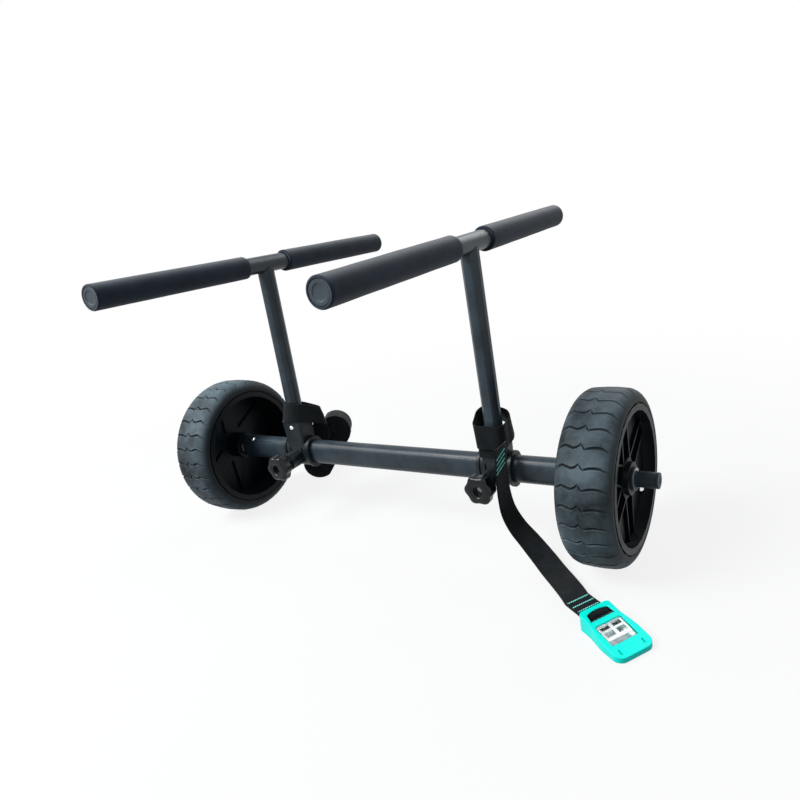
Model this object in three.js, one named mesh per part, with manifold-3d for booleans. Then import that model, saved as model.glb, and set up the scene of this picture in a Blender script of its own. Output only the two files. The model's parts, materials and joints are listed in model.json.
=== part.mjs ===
// A two-wheeled cart that carries a kayak by two padded T-bars, with a cam-buckle strap.
// Millimetres. X runs along the cross tube, Y backward, Z up. The floor is at z = 0.
import * as THREE from 'three';
import Module from 'manifold-3d';
import { mergeVertices } from 'three/addons/utils/BufferGeometryUtils.js';

const wasm = await Module();
wasm.setup();

// Clearances shared by all pieces
const fitGap = 0.3;
const cutOverrun = 4;

// Tyre
const tyreRadius = 127;
const tyreWidth = 78;
const shoulderRadius = 18.6;
const centreStripHalfWidth = 5;
const crownDrop = 1;
const treadDepth = 3.2;
const treadPitches = 30;
const landAngleShare = 0.62;
const waveAngleShare = 0.2;
const shoulderSteps = 2;

// Rim
const rimDrumRadius = 99.4;
const rimWall = 3.6;
const rimDishDepth = 2.4;
const rimLipHeight = 5.5;
const rimLipThickness = 3.3;
const hubRadius = 24;
const hubOutboardReach = 33;
const spokeCount = 6;
const spokeWidth = 25;
const spokeRootWidth = 32;
const spokeWall = 3.2;
const spokeRibHeight = 12;
const spokeOutboardReach = 26;
const webOutboardReach = 21;
const webThickness = 2.4;
const rimSegments = 26;

// Hub bush and washer
const bushWall = 1.8;
const bushLength = 15;
const bushFlangeRadius = 17;
const bushFlangeThickness = 2;
const washerRadius = 16;
const washerThickness = 2;

// Cross tube and its end plugs
const tubeHeight = 43.6;
const tubeDepth = 29.3;
const tubeWall = 1.6;
const tubeHalfLength = 344;
const plugFlangeThickness = 4;
const plugInsertLength = 52;
const roundSteps = 7;

// Stub axle, its cap and its push button
const axleRadius = 11.5;
const axleWall = 1.8;
const axleInsertLength = 54;
const axleTailLength = 28.3;
const axleCapThickness = 3.4;
const axleCapInsertLength = 7;
const axleCapRecessRadius = 5.5;
const axleCapRecessDepth = 1.2;
const boreGap = 0.4;
const roundSegments = 14;

// Rivet that holds the stub axle, square to the tube's upper front round
const rivetInset = 23;
const rivetAngle = THREE.MathUtils.degToRad(50);
const rivetShankRadius = 2.5;
const rivetHeadRadius = 4.5;
const rivetHeadHeight = 1.8;
const rivetLength = 21.5;
const smallSegments = 9;

// Snap buttons and their V-shaped leaf springs
const buttonRadius = 4.5;
const buttonTipRound = 1.2;
const buttonFlangeRadius = 5.4;
const buttonFlangeThickness = 1.2;
const axleButtonProud = 5.5;
const barButtonProud = 1.4;
const leafThickness = 0.8;
const leafWidth = 7;
const leafLength = 34;

// Wheels, from the tube's ends, and clamps, from its middle
const wheelStandoff = 27.1;
const rightPostX = 197.4;
const leftPostX = -204.2;

// T-bar
const barRadius = 14;
const postWall = 1.8;
const barWall = 1.6;
const barHeight = 464.8;
const barHalfLength = 318.5;
const foamRadius = 18;
const foamInnerEnd = 46;
const foamEndRound = 1.5;
const barPlugHead = 4.2;
const barPlugInsert = 18;
const barPlugRingRadius = 9.5;
const barPlugRingDepth = 0.9;
const leftLean = THREE.MathUtils.degToRad(2.2);

// Sliding clamp
const clampGap = 0.35;
const clampWall = 4.5;
const clampHalfLength = 29;
const clampFlangeWidth = 5;
const clampFlangeHeight = 2;
const tongueWidth = 24;
const slotWidth = 2.5;
const slotHeight = 30;
const slotRise = 6;
const blockWidth = 42;
const blockDepth = 36;
const blockBottomWidth = 38;
const blockCorner = 4;
const blockTop = 188;
const blockBottom = 140;
const socketRadius = 15;
const socketFloor = 161;
const socketPivot = 174.6;
const barButtonHeight = 177;
const buttonHoleSlack = 0.8;

// Clamp screw and star knob
const bossRadius = 15;
const bossFace = 46;
const bossDrop = 5;
const screwRadius = 5;
const screwTipGap = 0.4;
const knobLobes = 6;
const knobRadius = 24;
const knobLobeDepth = 3.2;
const knobThickness = 19;
const knobRound = 2.4;
const knobNeckRadius = 12.5;
const knobNeckLength = 6.4;
const knobRecessRadius = 7.5;
const knobRecessDepth = 6;
const knobRingWidth = 2.2;
const screwOut = 5.5;

// Webbing, and the steps its rounds are drawn in
const webbingWidth = 38;
const webbingThickness = 1.6;
const arcSteps = 2;
const seamShare = 0.001;

// Right strap's sewn loop round the clamp's block: x and y from the post and height of its
// middle line, and the shares by which its width leans along x and y at the same points
const rightLoopRoute = [
  [-19.5, -21.8, 184],
  [0, -21.9, 184],
  [17, -21.8, 184],
  [22.8, -15, 184.5],
  [22.8, 0, 186],
  [22.9, 13.2, 189],
  [16.5, 23, 196],
  [3, 26, 203],
  [-9, 25.8, 205.5],
  [-20, 19.5, 204],
  [-26, 8, 198],
  [-25.4, -7, 190],
  [-24.2, -17.5, 185.5]
];
const rightLoopLeanShares = [
  [0, 0], [0, 0.02], [0, 0], [0, 0], [0, 0], [-0.02, -0.08], [-0.03, -0.24],
  [-0.03, -0.5], [0, -0.57], [0, -0.36], [-0.16, -0.1], [-0.16, 0], [-0.06, 0]
];
const rightLoopRings = 32;

// Left strap: snug loop round the post, rolled webbing and its band
const leftLoopHeight = 209.5;
const leftLoopGap = 1.2;
const leftLoopApex = 31;
const leftLoopApexRadius = 5;
const leftLoopHeading = THREE.MathUtils.degToRad(62);
const leftLoopDip = 16;
const leftLoopDipStart = 25;
const leftLoopSteps = 26;
const rollCentreX = -192;
const rollCentreZ = 115;
const rollLean = THREE.MathUtils.degToRad(36);
const rollHalfRun = 52.5;
const rollInnerRadius = 6.4;
const rollPitch = 2.3;
const rollThickness = 1.5;
const rollTurns = 12;
const rollSteps = 14;
const bandWidth = 20;
const bandThickness = 1.6;
const bandGap = 1.1;
const bandCorner = 5;

// Cam buckle, in its own frame: x from the strap end to the far end, z up from the floor
const buckleX = 391;
const buckleY = -159.5;
const buckleHeading = THREE.MathUtils.degToRad(-33.5);
const buckleLength = 82;
const buckleStrapEndWidth = 47;
const buckleFarEndWidth = 56;
const bulgeStartShare = 0.2;
const bulgeEndShare = 0.66;
const bulgeSteps = 5;
const buckleStrapEndHeight = 24;
const buckleFarEndHeight = 7;
const buckleWall = 2;
const buckleFarCorner = 13;
const buckleNearCorner = 6;
const buckleTopRound = 3;
const buckleFarBlock = 20;
const buckleMouthWidth = 41;
const buckleMouthHeight = 10;
const frameThickness = 1.6;
const frameStart = 4.2;
const frameLength = 56;
const frameFloor = 1.2;
const camPinX = 19;
const camPinHeight = 11.4;
const camPinRadius = 2.5;
const camRadius = 6.2;
const camToothDepth = 0.9;
const camTeeth = 6;
const leverWidth = 36;
const leverReach = 33;
const leverThickness = 1.8;
const leverBridge = 2.4;
const strapBarX = 7.4;
const strapBarHeight = 15.2;
const strapBarRadius = 2.2;
const eyeLength = 34;
const windowFrom = 18;
const windowTo = 53;
const windowWidth = 37;
const frontWindowFrom = 4.5;
const frontWindowTo = 13.5;
const frontWindowWidth = 30;
const sideSlotX = 69;
const sideSlotOffset = 15;
const sideSlotLength = 8;
const sideSlotWidth = 3;
const sideSlotDepth = 1.5;
const springWireRadius = 0.5;
const springCoilRadius = 3.5;
const springNotchWidth = 6.6;
const springLeg = 5;
const springTurns = 3;
const springCoilGap = 0.5;

// The right strap's free run, from the loop to the buckle: x, y, z of its middle line and
// the turn of its width, in degrees, from along Y to across the floor run
const rightStrapRoute = [
  [222.1, -33, 178, 0],
  [222.3, -36, 166, 0],
  [224, -43, 150, 0],
  [224, -45, 130, 0],
  [224.5, -46, 105, 2],
  [228, -46, 79, 6],
  [240, -47, 55, 13],
  [259, -51, 36, 24],
  [285, -65, 20, 36],
  [311, -88, 13.5, 43],
  [331, -110.5, 12.5, 45],
  [351, -133, 14.2, 38],
  [362.4, -140.6, 15.2, 33.5]
];

// Sizes that follow from the values above
const axleHeight = tyreRadius * Math.cos(Math.PI / treadPitches * landAngleShare);
const tubeRound = tubeDepth / 2;
const tubeFlat = tubeHeight / 2 - tubeRound;
const plugFace = tubeHalfLength + fitGap + plugFlangeThickness;
const rivetReach = tubeHalfLength - rivetInset;
const axleInnerReach = tubeHalfLength - axleInsertLength;
const wheelX = tubeHalfLength + wheelStandoff;
const innerWasherFace = plugFace + fitGap;
const innerBushFace = innerWasherFace + washerThickness + fitGap;
const hubInboardReach = wheelX - innerBushFace - bushFlangeThickness - fitGap;
const outerBushFace = wheelX + hubOutboardReach + fitGap;
const outerWasherFace = outerBushFace + bushFlangeThickness + fitGap;
const axleButtonReach = outerWasherFace + washerThickness + fitGap + buttonRadius;
const axleOuterReach = outerWasherFace + washerThickness + axleTailLength;
const collarRound = tubeRound + clampGap + clampWall;
const leftLoopShift = Math.tan(leftLean) * (leftLoopHeight - socketPivot);
const leftLoopReach = leftLoopApex + leftLoopApexRadius;
const rollCentreY = leftLoopShift + leftLoopReach * Math.sin(leftLoopHeading)
  + webbingThickness / 2 + fitGap + webbingWidth / 2;

// Colours as the photograph shows them
const look = (color, roughness, metalness = 0) => (
  new THREE.MeshStandardMaterial({ color, roughness, metalness })
);
const looks = {
  tyre: look(0x23272a, 0.85),
  rim: look(0x14191c, 0.5),
  paint: look(0x1a1e22, 0.4),
  moulding: look(0x1b2024, 0.5),
  foam: look(0x1e242b, 0.9),
  plug: look(0x39424a, 0.6),
  steel: look(0xc4c8ca, 0.3, 1),
  zinc: look(0x8d9295, 0.4, 1),
  nylon: look(0x2a2e31, 0.5),
  webbing: look(0x15181b, 0.9),
  turquoise: look(0x12e3cf, 0.45)
};

const cart = new THREE.Group();

function addPiece(parent, name, geometry, surface) {
  const mesh = new THREE.Mesh(geometry, surface.clone());
  mesh.name = name;
  parent.add(mesh);
  return mesh;
}

// A closed geometry with merged vertices, no empty triangles and outward faces
function closed(source) {
  let geometry = source.index ? source.toNonIndexed() : source.clone();
  geometry.deleteAttribute('normal');
  geometry.deleteAttribute('uv');
  geometry = mergeVertices(geometry);
  const spots = geometry.attributes.position;
  const index = geometry.index;
  const kept = [];
  const [a, b, c] = [new THREE.Vector3(), new THREE.Vector3(), new THREE.Vector3()];
  let volume = 0;
  for (let i = 0; i < index.count; i += 3) {
    const corners = [index.getX(i), index.getX(i + 1), index.getX(i + 2)];
    if (new Set(corners).size < corners.length) {
      continue;
    }
    kept.push(...corners);
    a.fromBufferAttribute(spots, corners[0]);
    b.fromBufferAttribute(spots, corners[1]);
    c.fromBufferAttribute(spots, corners[2]);
    volume += a.dot(b.cross(c));
  }
  geometry.setIndex(volume < 0 ? kept.reverse() : kept);
  return geometry;
}

function toSolid(source) {
  const geometry = closed(source);
  return new wasm.Manifold(new wasm.Mesh({
    numProp: 3,
    vertProperties: geometry.attributes.position.array,
    triVerts: Uint32Array.from(geometry.index.array)
  }));
}

function toGeometry(solid) {
  const mesh = solid.getMesh();
  const geometry = new THREE.BufferGeometry();
  geometry.setAttribute('position', new THREE.BufferAttribute(mesh.vertProperties, 3));
  geometry.setIndex(new THREE.BufferAttribute(mesh.triVerts, 1));
  return geometry;
}

const joined = (first, ...others) => (
  toGeometry(others.reduce((solid, other) => solid.add(toSolid(other)), toSolid(first)))
);
const cut = (first, ...others) => (
  toGeometry(others.reduce((solid, other) => solid.subtract(toSolid(other)), toSolid(first)))
);
const common = (first, second) => toGeometry(toSolid(first).intersect(toSolid(second)));

// A profile of [radius, height] points turned round Y, X or Z
function turnedY(profile, segments = roundSegments) {
  const points = profile.map(([radius, height]) => new THREE.Vector2(radius, height));
  const onAxis = profile[0][0] === 0 && profile.at(-1)[0] === 0;
  if (!onAxis) {
    points.push(points[0].clone());
  }
  return closed(new THREE.LatheGeometry(points, segments));
}
const turnedX = (profile, segments) => turnedY(profile, segments).rotateZ(-Math.PI / 2);
const turnedZ = (profile, segments) => turnedY(profile, segments).rotateX(Math.PI / 2);

const rodProfile = (radius, from, to) => [[0, from], [radius, from], [radius, to], [0, to]];
const pipeProfile = (outer, inner, from, to) => (
  [[inner, from], [outer, from], [outer, to], [inner, to]]
);

// A shape drawn in X and Y, drawn out along Z
function drawnOut(shape, depth, curveSegments = roundSteps) {
  return closed(new THREE.ExtrudeGeometry(shape, { depth, bevelEnabled: false, curveSegments }));
}

// An upright shape drawn in Y (its x) and Z (its y), drawn out along X from a start
function drawnAlongX(shape, from, to, curveSegments) {
  return drawnOut(shape, to - from, curveSegments)
    .applyMatrix4(new THREE.Matrix4().makeBasis(
      new THREE.Vector3(0, 1, 0), new THREE.Vector3(0, 0, 1), new THREE.Vector3(1, 0, 0)))
    .translate(from, 0, 0);
}

function drawPath(path, points) {
  points.forEach(([x, y], i) => (i ? path.lineTo(x, y) : path.moveTo(x, y)));
  path.closePath();
  return path;
}

// An upright oval with round ends: centres of the ends at plus and minus flat
function ovalPath(path, round, flat) {
  path.moveTo(round, -flat);
  path.lineTo(round, flat);
  path.absarc(0, flat, round, 0, Math.PI);
  path.lineTo(-round, -flat);
  path.absarc(0, -flat, round, Math.PI, Math.PI * 2);
  return path;
}

function roundedBox(path, left, right, bottom, top, corner) {
  const quarter = Math.PI / 2;
  path.moveTo(left + corner, bottom);
  path.absarc(right - corner, bottom + corner, corner, -quarter, 0);
  path.absarc(right - corner, top - corner, corner, 0, quarter);
  path.absarc(left + corner, top - corner, corner, quarter, Math.PI);
  path.absarc(left + corner, bottom + corner, corner, Math.PI, Math.PI + quarter);
  return path;
}

// A flat ribbon swept along rings: each ring has its middle, width and thickness directions
function ribbon(rings, width, thickness, isClosed = false) {
  const positions = [];
  for (const { middle, across, through } of rings) {
    for (const [side, face] of [[-1, -1], [1, -1], [1, 1], [-1, 1]]) {
      const corner = middle.clone()
        .addScaledVector(across, side * width / 2)
        .addScaledVector(through, face * thickness / 2);
      positions.push(...corner.toArray());
    }
  }
  const sides = 4;
  const index = [];
  const last = isClosed ? rings.length : rings.length - 1;
  for (let i = 0; i < last; i++) {
    const next = (i + 1) % rings.length;
    for (let k = 0; k < sides; k++) {
      const [a, b] = [i * sides + k, i * sides + (k + 1) % sides];
      const [c, d] = [next * sides + (k + 1) % sides, next * sides + k];
      index.push(a, b, c, a, c, d);
    }
  }
  if (!isClosed) {
    const end = (rings.length - 1) * sides;
    index.push(2, 1, 0, 3, 2, 0, end, end + 1, end + 2, end, end + 2, end + 3);
  }
  const geometry = new THREE.BufferGeometry();
  geometry.setAttribute('position', new THREE.Float32BufferAttribute(positions, 3));
  geometry.setIndex(index);
  return closed(geometry);
}

// Rings for a ribbon from its middle line and the width direction at each point
function ringsAlong(middles, widths, isClosed = false) {
  const count = middles.length;
  return middles.map((middle, i) => {
    const before = middles[isClosed ? (i + count - 1) % count : Math.max(i - 1, 0)];
    const after = middles[isClosed ? (i + 1) % count : Math.min(i + 1, count - 1)];
    const along = after.clone().sub(before).normalize();
    const through = along.clone().cross(widths[i]).normalize();
    return { middle, across: widths[i], through };
  });
}

// Points round a closed path: its arcs in a few steps and its straight runs cut up evenly
function tracedPoints(path, longest) {
  const corners = path.getPoints(arcSteps);
  if (corners[0].distanceTo(corners.at(-1)) < longest * seamShare) {
    corners.pop();
  }
  return corners.flatMap((corner, i) => {
    const next = corners[(i + 1) % corners.length];
    const count = Math.max(1, Math.ceil(corner.distanceTo(next) / longest));
    return Array.from({ length: count }, (_, k) => corner.clone().lerp(next, k / count));
  });
}

// Tyre: each pitch of the tread has a land's two edges and a groove's bottom, all wavy
function tyreGeometry() {
  const pitchAngle = Math.PI * 2 / treadPitches;
  const landHalf = pitchAngle * landAngleShare / 2;
  const halfWidth = tyreWidth / 2;
  const crownEdge = halfWidth - shoulderRadius;
  const midCrown = (centreStripHalfWidth + crownEdge) / 2;
  const notch = halfWidth - rimLipThickness;
  const bore = (rimDrumRadius + fitGap) / Math.cos(landHalf);
  const bead = rimDrumRadius + rimLipHeight + fitGap + fitGap;
  const half = [
    { u: centreStripHalfWidth, r: tyreRadius, deep: 1, wave: 0 },
    { u: midCrown, r: tyreRadius - crownDrop / 2, deep: 1, wave: 1 },
    { u: crownEdge, r: tyreRadius - crownDrop, deep: 1, wave: 0 }
  ];
  for (let i = 1; i <= shoulderSteps; i++) {
    const turn = i / shoulderSteps * Math.PI / 2;
    const share = 1 - i / shoulderSteps;
    half.push({
      u: crownEdge + shoulderRadius * Math.sin(turn),
      r: tyreRadius - crownDrop - shoulderRadius * (1 - Math.cos(turn)),
      deep: share,
      wave: i === 1 ? -1 : 0
    });
  }
  half.push({ u: notch, r: bead, deep: 0, wave: 0 });
  half.push({ u: notch, r: bore, deep: 0, wave: 0 });
  const loop = [
    ...half.map((point) => ({ ...point, u: -point.u })).reverse(),
    ...half
  ];
  const positions = [];
  const ringStarts = [
    { turn: -landHalf, depth: 0 },
    { turn: landHalf, depth: 0 },
    { turn: pitchAngle / 2, depth: treadDepth }
  ];
  for (let i = 0; i < treadPitches; i++) {
    for (const ring of ringStarts) {
      for (const point of loop) {
        const wave = point.wave * Math.sign(point.u) * waveAngleShare * pitchAngle;
        const angle = i * pitchAngle + ring.turn + wave - Math.PI / 2;
        const radius = point.r - ring.depth * point.deep;
        positions.push(point.u, radius * Math.cos(angle), radius * Math.sin(angle));
      }
    }
  }
  const rings = treadPitches * ringStarts.length;
  const index = [];
  for (let i = 0; i < rings; i++) {
    for (let k = 0; k < loop.length; k++) {
      const [a, b] = [i * loop.length + k, i * loop.length + (k + 1) % loop.length];
      const c = (i + 1) % rings * loop.length + (k + 1) % loop.length;
      const d = (i + 1) % rings * loop.length + k;
      index.push(a, b, c, a, c, d);
    }
  }
  const geometry = new THREE.BufferGeometry();
  geometry.setAttribute('position', new THREE.Float32BufferAttribute(positions, 3));
  geometry.setIndex(index);
  return closed(geometry);
}

// Rim: a drum with lips over the tyre's sides, a hub and a closed web between them, which
// six channel spokes, open outward, stiffen on both of its sides
function rimGeometry() {
  const halfWidth = tyreWidth / 2 + fitGap;
  const lip = rimDrumRadius + rimLipHeight;
  const lipStart = halfWidth - rimLipThickness;
  const inner = rimDrumRadius - rimWall;
  const drum = turnedX([
    [lip, -halfWidth], [lip, -lipStart], [rimDrumRadius, -lipStart],
    [rimDrumRadius, lipStart], [lip, lipStart], [lip, halfWidth],
    [inner, halfWidth], [inner - rimDishDepth, 0], [inner, -halfWidth]
  ], rimSegments);
  const hubBore = axleRadius + boreGap + bushWall + boreGap;
  const hub = turnedX(pipeProfile(hubRadius, hubBore, -hubInboardReach, hubOutboardReach));
  const spokeStart = hubRadius - spokeWall;
  const spokeEnd = inner + rimWall / 2;
  const channel = new THREE.Shape();
  drawPath(channel, [
    [spokeStart, -spokeRootWidth / 2], [spokeEnd, -spokeWidth / 2],
    [spokeEnd, spokeWidth / 2], [spokeStart, spokeRootWidth / 2]
  ]);
  const groove = new THREE.Shape();
  drawPath(groove, [
    [hubRadius + spokeWall, spokeWall - spokeRootWidth / 2],
    [inner - rimDishDepth - spokeWall, spokeWall - spokeWidth / 2],
    [inner - rimDishDepth - spokeWall, spokeWidth / 2 - spokeWall],
    [hubRadius + spokeWall, spokeRootWidth / 2 - spokeWall]
  ]);
  const toOutboard = new THREE.Matrix4().makeBasis(
    new THREE.Vector3(0, 0, 1), new THREE.Vector3(0, 1, 0), new THREE.Vector3(-1, 0, 0));
  const spoke = drawnOut(channel, spokeRibHeight)
    .translate(0, 0, -spokeOutboardReach)
    .applyMatrix4(toOutboard);
  const hollow = drawnOut(groove, spokeRibHeight)
    .translate(0, 0, -spokeOutboardReach - spokeWall)
    .applyMatrix4(toOutboard);
  const web = turnedX(pipeProfile(
    rimDrumRadius - rimWall / 2, spokeStart, webOutboardReach - webThickness, webOutboardReach
  ), rimSegments);
  const turns = Array.from({ length: spokeCount }, (_, i) => i / spokeCount * Math.PI * 2);
  const solid = joined(hub, drum, web, ...turns.map((turn) => spoke.clone().rotateX(turn)));
  return cut(solid, ...turns.map((turn) => hollow.clone().rotateX(turn)));
}

function bushProfile() {
  const bore = axleRadius + boreGap;
  const sleeve = bore + bushWall;
  return [
    [bore, 0], [bushFlangeRadius, 0], [bushFlangeRadius, bushFlangeThickness],
    [sleeve, bushFlangeThickness], [sleeve, bushFlangeThickness + bushLength],
    [bore, bushFlangeThickness + bushLength]
  ];
}

// A snap button along +Y, its tip at the given distance and its flange near the bore
function buttonProfile(tip, root) {
  return [
    [0, root], [buttonFlangeRadius, root], [buttonFlangeRadius, root + buttonFlangeThickness],
    [buttonRadius, root + buttonFlangeThickness], [buttonRadius, tip - buttonTipRound],
    [buttonRadius - buttonTipRound, tip], [0, tip]
  ];
}

// A V-shaped leaf: one arm behind the button's flange and one against the bore's far side,
// drawn in the plane of press (x) and tube (y), from the bend to the open end
function leafGeometry(nearSide, farSide, length) {
  const shape = new THREE.Shape();
  const bend = leafThickness * 2;
  drawPath(shape, [
    [nearSide, 0], [(nearSide + farSide) / 2 - bend / 2, length],
    [(nearSide + farSide) / 2 + bend / 2, length], [farSide, -buttonRadius],
    [farSide - leafThickness, -buttonRadius],
    [(nearSide + farSide) / 2, length - bend],
    [nearSide + leafThickness, 0], [nearSide + leafThickness, -buttonRadius],
    [nearSide, -buttonRadius]
  ]);
  return drawnOut(shape, leafWidth).translate(0, 0, -leafWidth / 2);
}

function rivetPlace() {
  const outward = new THREE.Vector3(0, -Math.cos(rivetAngle), Math.sin(rivetAngle));
  const surface = outward.clone().multiplyScalar(tubeRound);
  surface.z += axleHeight + tubeFlat;
  return { outward, surface };
}

function rivetTurned(profile, segments) {
  const { outward, surface } = rivetPlace();
  const turn = new THREE.Quaternion().setFromUnitVectors(new THREE.Vector3(0, 1, 0), outward);
  return turnedY(profile, segments)
    .applyQuaternion(turn)
    .translate(surface.x, surface.y, surface.z);
}

function rivetGeometry() {
  const shank = rivetShankRadius;
  return rivetTurned([
    [0, -rivetLength], [shank, -rivetLength], [shank, fitGap], [rivetHeadRadius, fitGap],
    [rivetHeadRadius, fitGap + rivetHeadHeight / 3],
    [rivetHeadRadius * 2 / 3, fitGap + rivetHeadHeight], [0, fitGap + rivetHeadHeight]
  ], smallSegments).translate(rivetReach, 0, 0);
}

function rivetHole() {
  const radius = rivetShankRadius + fitGap;
  return rivetTurned(rodProfile(radius, -rivetLength - cutOverrun, cutOverrun), smallSegments)
    .translate(rivetReach, 0, 0);
}

function buildCrossTube() {
  const outer = ovalPath(new THREE.Shape(), tubeRound, tubeFlat);
  outer.holes.push(ovalPath(new THREE.Path(), tubeRound - tubeWall, tubeFlat));
  const tube = drawnAlongX(outer, -tubeHalfLength, tubeHalfLength).translate(0, 0, axleHeight);
  const mirrored = rivetHole().scale(-1, 1, 1);
  addPiece(cart, 'cross_tube', cut(tube, rivetHole(), mirrored), looks.paint);
}

// Plug, stub axle, rivet, cap and button spring of the right end; the left end mirrors them
function buildAxleEnd(side) {
  const prefix = side > 0 ? 'right' : 'left';
  const place = (geometry) => closed(geometry.scale(side, 1, 1));
  const insertRound = tubeRound - tubeWall - fitGap;
  const insert = drawnAlongX(
    ovalPath(new THREE.Shape(), insertRound, tubeFlat),
    tubeHalfLength - plugInsertLength, tubeHalfLength + fitGap + plugFlangeThickness / 2);
  const flange = drawnAlongX(
    ovalPath(new THREE.Shape(), tubeRound, tubeFlat), tubeHalfLength + fitGap, plugFace);
  const bore = turnedX(rodProfile(axleRadius + boreGap,
    tubeHalfLength - plugInsertLength - cutOverrun, plugFace + cutOverrun));
  const plug = cut(joined(insert, flange), bore).translate(0, 0, axleHeight);
  addPiece(cart, `${prefix}_tube_plug`, place(cut(plug, rivetHole())), looks.moulding);

  const pipe = turnedX(pipeProfile(
    axleRadius, axleRadius - axleWall, axleInnerReach, axleOuterReach));
  const buttonHole = turnedZ(rodProfile(
    buttonRadius + fitGap, -axleRadius - cutOverrun, 0), smallSegments)
    .translate(axleButtonReach, 0, 0);
  const stub = cut(pipe, buttonHole).translate(0, 0, axleHeight);
  addPiece(cart, `${prefix}_stub_axle`, place(cut(stub, rivetHole())), looks.paint);
  addPiece(cart, `${prefix}_rivet`, place(rivetGeometry()), looks.steel);

  const capInner = axleOuterReach - axleCapInsertLength;
  const capFace = axleOuterReach + fitGap + axleCapThickness;
  const insertRadius = axleRadius - axleWall - boreGap;
  const cap = turnedX([
    [0, capInner], [insertRadius, capInner], [insertRadius, axleOuterReach + fitGap],
    [axleRadius, axleOuterReach + fitGap], [axleRadius, capFace], [axleCapRecessRadius, capFace],
    [axleCapRecessRadius - axleCapRecessDepth, capFace - axleCapRecessDepth],
    [0, capFace - axleCapRecessDepth]
  ]);
  addPiece(cart, `${prefix}_axle_cap`, place(cap.translate(0, 0, axleHeight)), looks.plug);

  const washer = pipeProfile(washerRadius, axleRadius + boreGap, 0, washerThickness);
  for (const [spot, face] of [['inner', innerWasherFace], ['outer', outerWasherFace]]) {
    const ring = turnedX(washer).translate(face, 0, axleHeight);
    addPiece(cart, `${prefix}_${spot}_washer`, place(ring), looks.zinc);
  }

  const axleBore = axleRadius - axleWall;
  const flangeRoot = buttonRoot(axleBore);
  const farSide = Math.sqrt(axleBore ** 2 - (leafWidth / 2) ** 2) - fitGap;
  const leaf = leafGeometry(fitGap - flangeRoot, farSide, leafLength)
    .applyMatrix4(new THREE.Matrix4().makeBasis(
      new THREE.Vector3(0, 0, 1), new THREE.Vector3(-1, 0, 0), new THREE.Vector3(0, -1, 0)));
  const leafPlace = leaf.translate(axleButtonReach, 0, axleHeight);
  addPiece(cart, `${prefix}_axle_spring`, place(leafPlace), looks.zinc);
  const button = turnedZ(buttonProfile(axleRadius + axleButtonProud, flangeRoot), smallSegments)
    .rotateX(Math.PI)
    .translate(axleButtonReach, 0, axleHeight);
  addPiece(cart, `${prefix}_axle_button`, place(button), looks.steel);
}

// Distance from a tube's middle to a button flange's inner face, clear of the tube's bore
function buttonRoot(bore) {
  return Math.sqrt((bore - fitGap) ** 2 - buttonFlangeRadius ** 2) - buttonFlangeThickness;
}

function buildWheel(side) {
  const prefix = side > 0 ? 'right' : 'left';
  const wheel = new THREE.Group();
  wheel.position.set(side * wheelX, 0, axleHeight);
  cart.add(wheel);
  addPiece(wheel, `${prefix}_tyre`, closed(tyreGeometry().scale(side, 1, 1)), looks.tyre);
  addPiece(wheel, `${prefix}_rim`, closed(rimGeometry().scale(side, 1, 1)), looks.rim);
  const inner = turnedX(bushProfile()).translate(innerBushFace - wheelX, 0, 0);
  const outer = turnedX(bushProfile()).scale(-1, 1, 1)
    .translate(outerBushFace + bushFlangeThickness - wheelX, 0, 0);
  addPiece(wheel, `${prefix}_inner_bush`, closed(inner.scale(side, 1, 1)), looks.nylon);
  addPiece(wheel, `${prefix}_outer_bush`, closed(outer.scale(side, 1, 1)), looks.nylon);
}

// Collar, pressing tongue, socket block and screw boss, made as one moulding
function clampGeometry() {
  const oval = (round) => ovalPath(new THREE.Shape(), round, tubeFlat);
  const collar = drawnAlongX(oval(collarRound), -clampHalfLength, clampHalfLength);
  const flangeShape = oval(collarRound + clampFlangeHeight);
  const flangeFrom = clampHalfLength - clampFlangeWidth;
  const rightFlange = drawnAlongX(flangeShape, flangeFrom, clampHalfLength);
  const leftFlange = drawnAlongX(flangeShape, -clampHalfLength, -flangeFrom);
  const block = blockGeometry().translate(0, 0, -axleHeight);
  const boss = turnedY(rodProfile(bossRadius, -bossFace, -tubeRound)).translate(0, 0, -bossDrop);
  const body = joined(collar, rightFlange, leftFlange, block, boss);

  const bore = drawnAlongX(
    oval(tubeRound + clampGap), -clampHalfLength - cutOverrun, clampHalfLength + cutOverrun);
  const screwBore = turnedY(rodProfile(screwRadius + fitGap, -bossFace - cutOverrun, 0), smallSegments)
    .translate(0, 0, -bossDrop);
  const slot = new THREE.BoxGeometry(slotWidth, collarRound * 2, slotHeight)
    .translate(0, -collarRound, slotRise - slotHeight / 2 + tubeFlat);
  const slotX = (tongueWidth + slotWidth) / 2;
  const socket = turnedZ(rodProfile(socketRadius, socketFloor, blockTop + cutOverrun))
    .translate(0, 0, -axleHeight);
  const holeRadius = buttonRadius + buttonHoleSlack;
  const buttonHole = turnedY(rodProfile(holeRadius, -blockDepth / 2 - cutOverrun, 0), smallSegments)
    .translate(0, 0, barButtonHeight - axleHeight);
  return cut(body, bore, screwBore, slot.clone().translate(slotX, 0, 0),
    slot.translate(-slotX, 0, 0), socket, buttonHole);
}

// The socket block: a rounded square that narrows a little toward its foot
function blockGeometry() {
  const half = blockWidth / 2;
  const halfDepth = blockDepth / 2;
  const shape = roundedBox(new THREE.Shape(), -half, half, -halfDepth, halfDepth, blockCorner);
  const geometry = drawnOut(shape, blockTop - blockBottom, roundSteps / 3)
    .translate(0, 0, blockBottom);
  const spots = geometry.attributes.position;
  for (let i = 0; i < spots.count; i++) {
    if (spots.getZ(i) < blockTop - fitGap) {
      spots.setX(i, spots.getX(i) * blockBottomWidth / blockWidth);
    }
  }
  return geometry;
}

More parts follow.
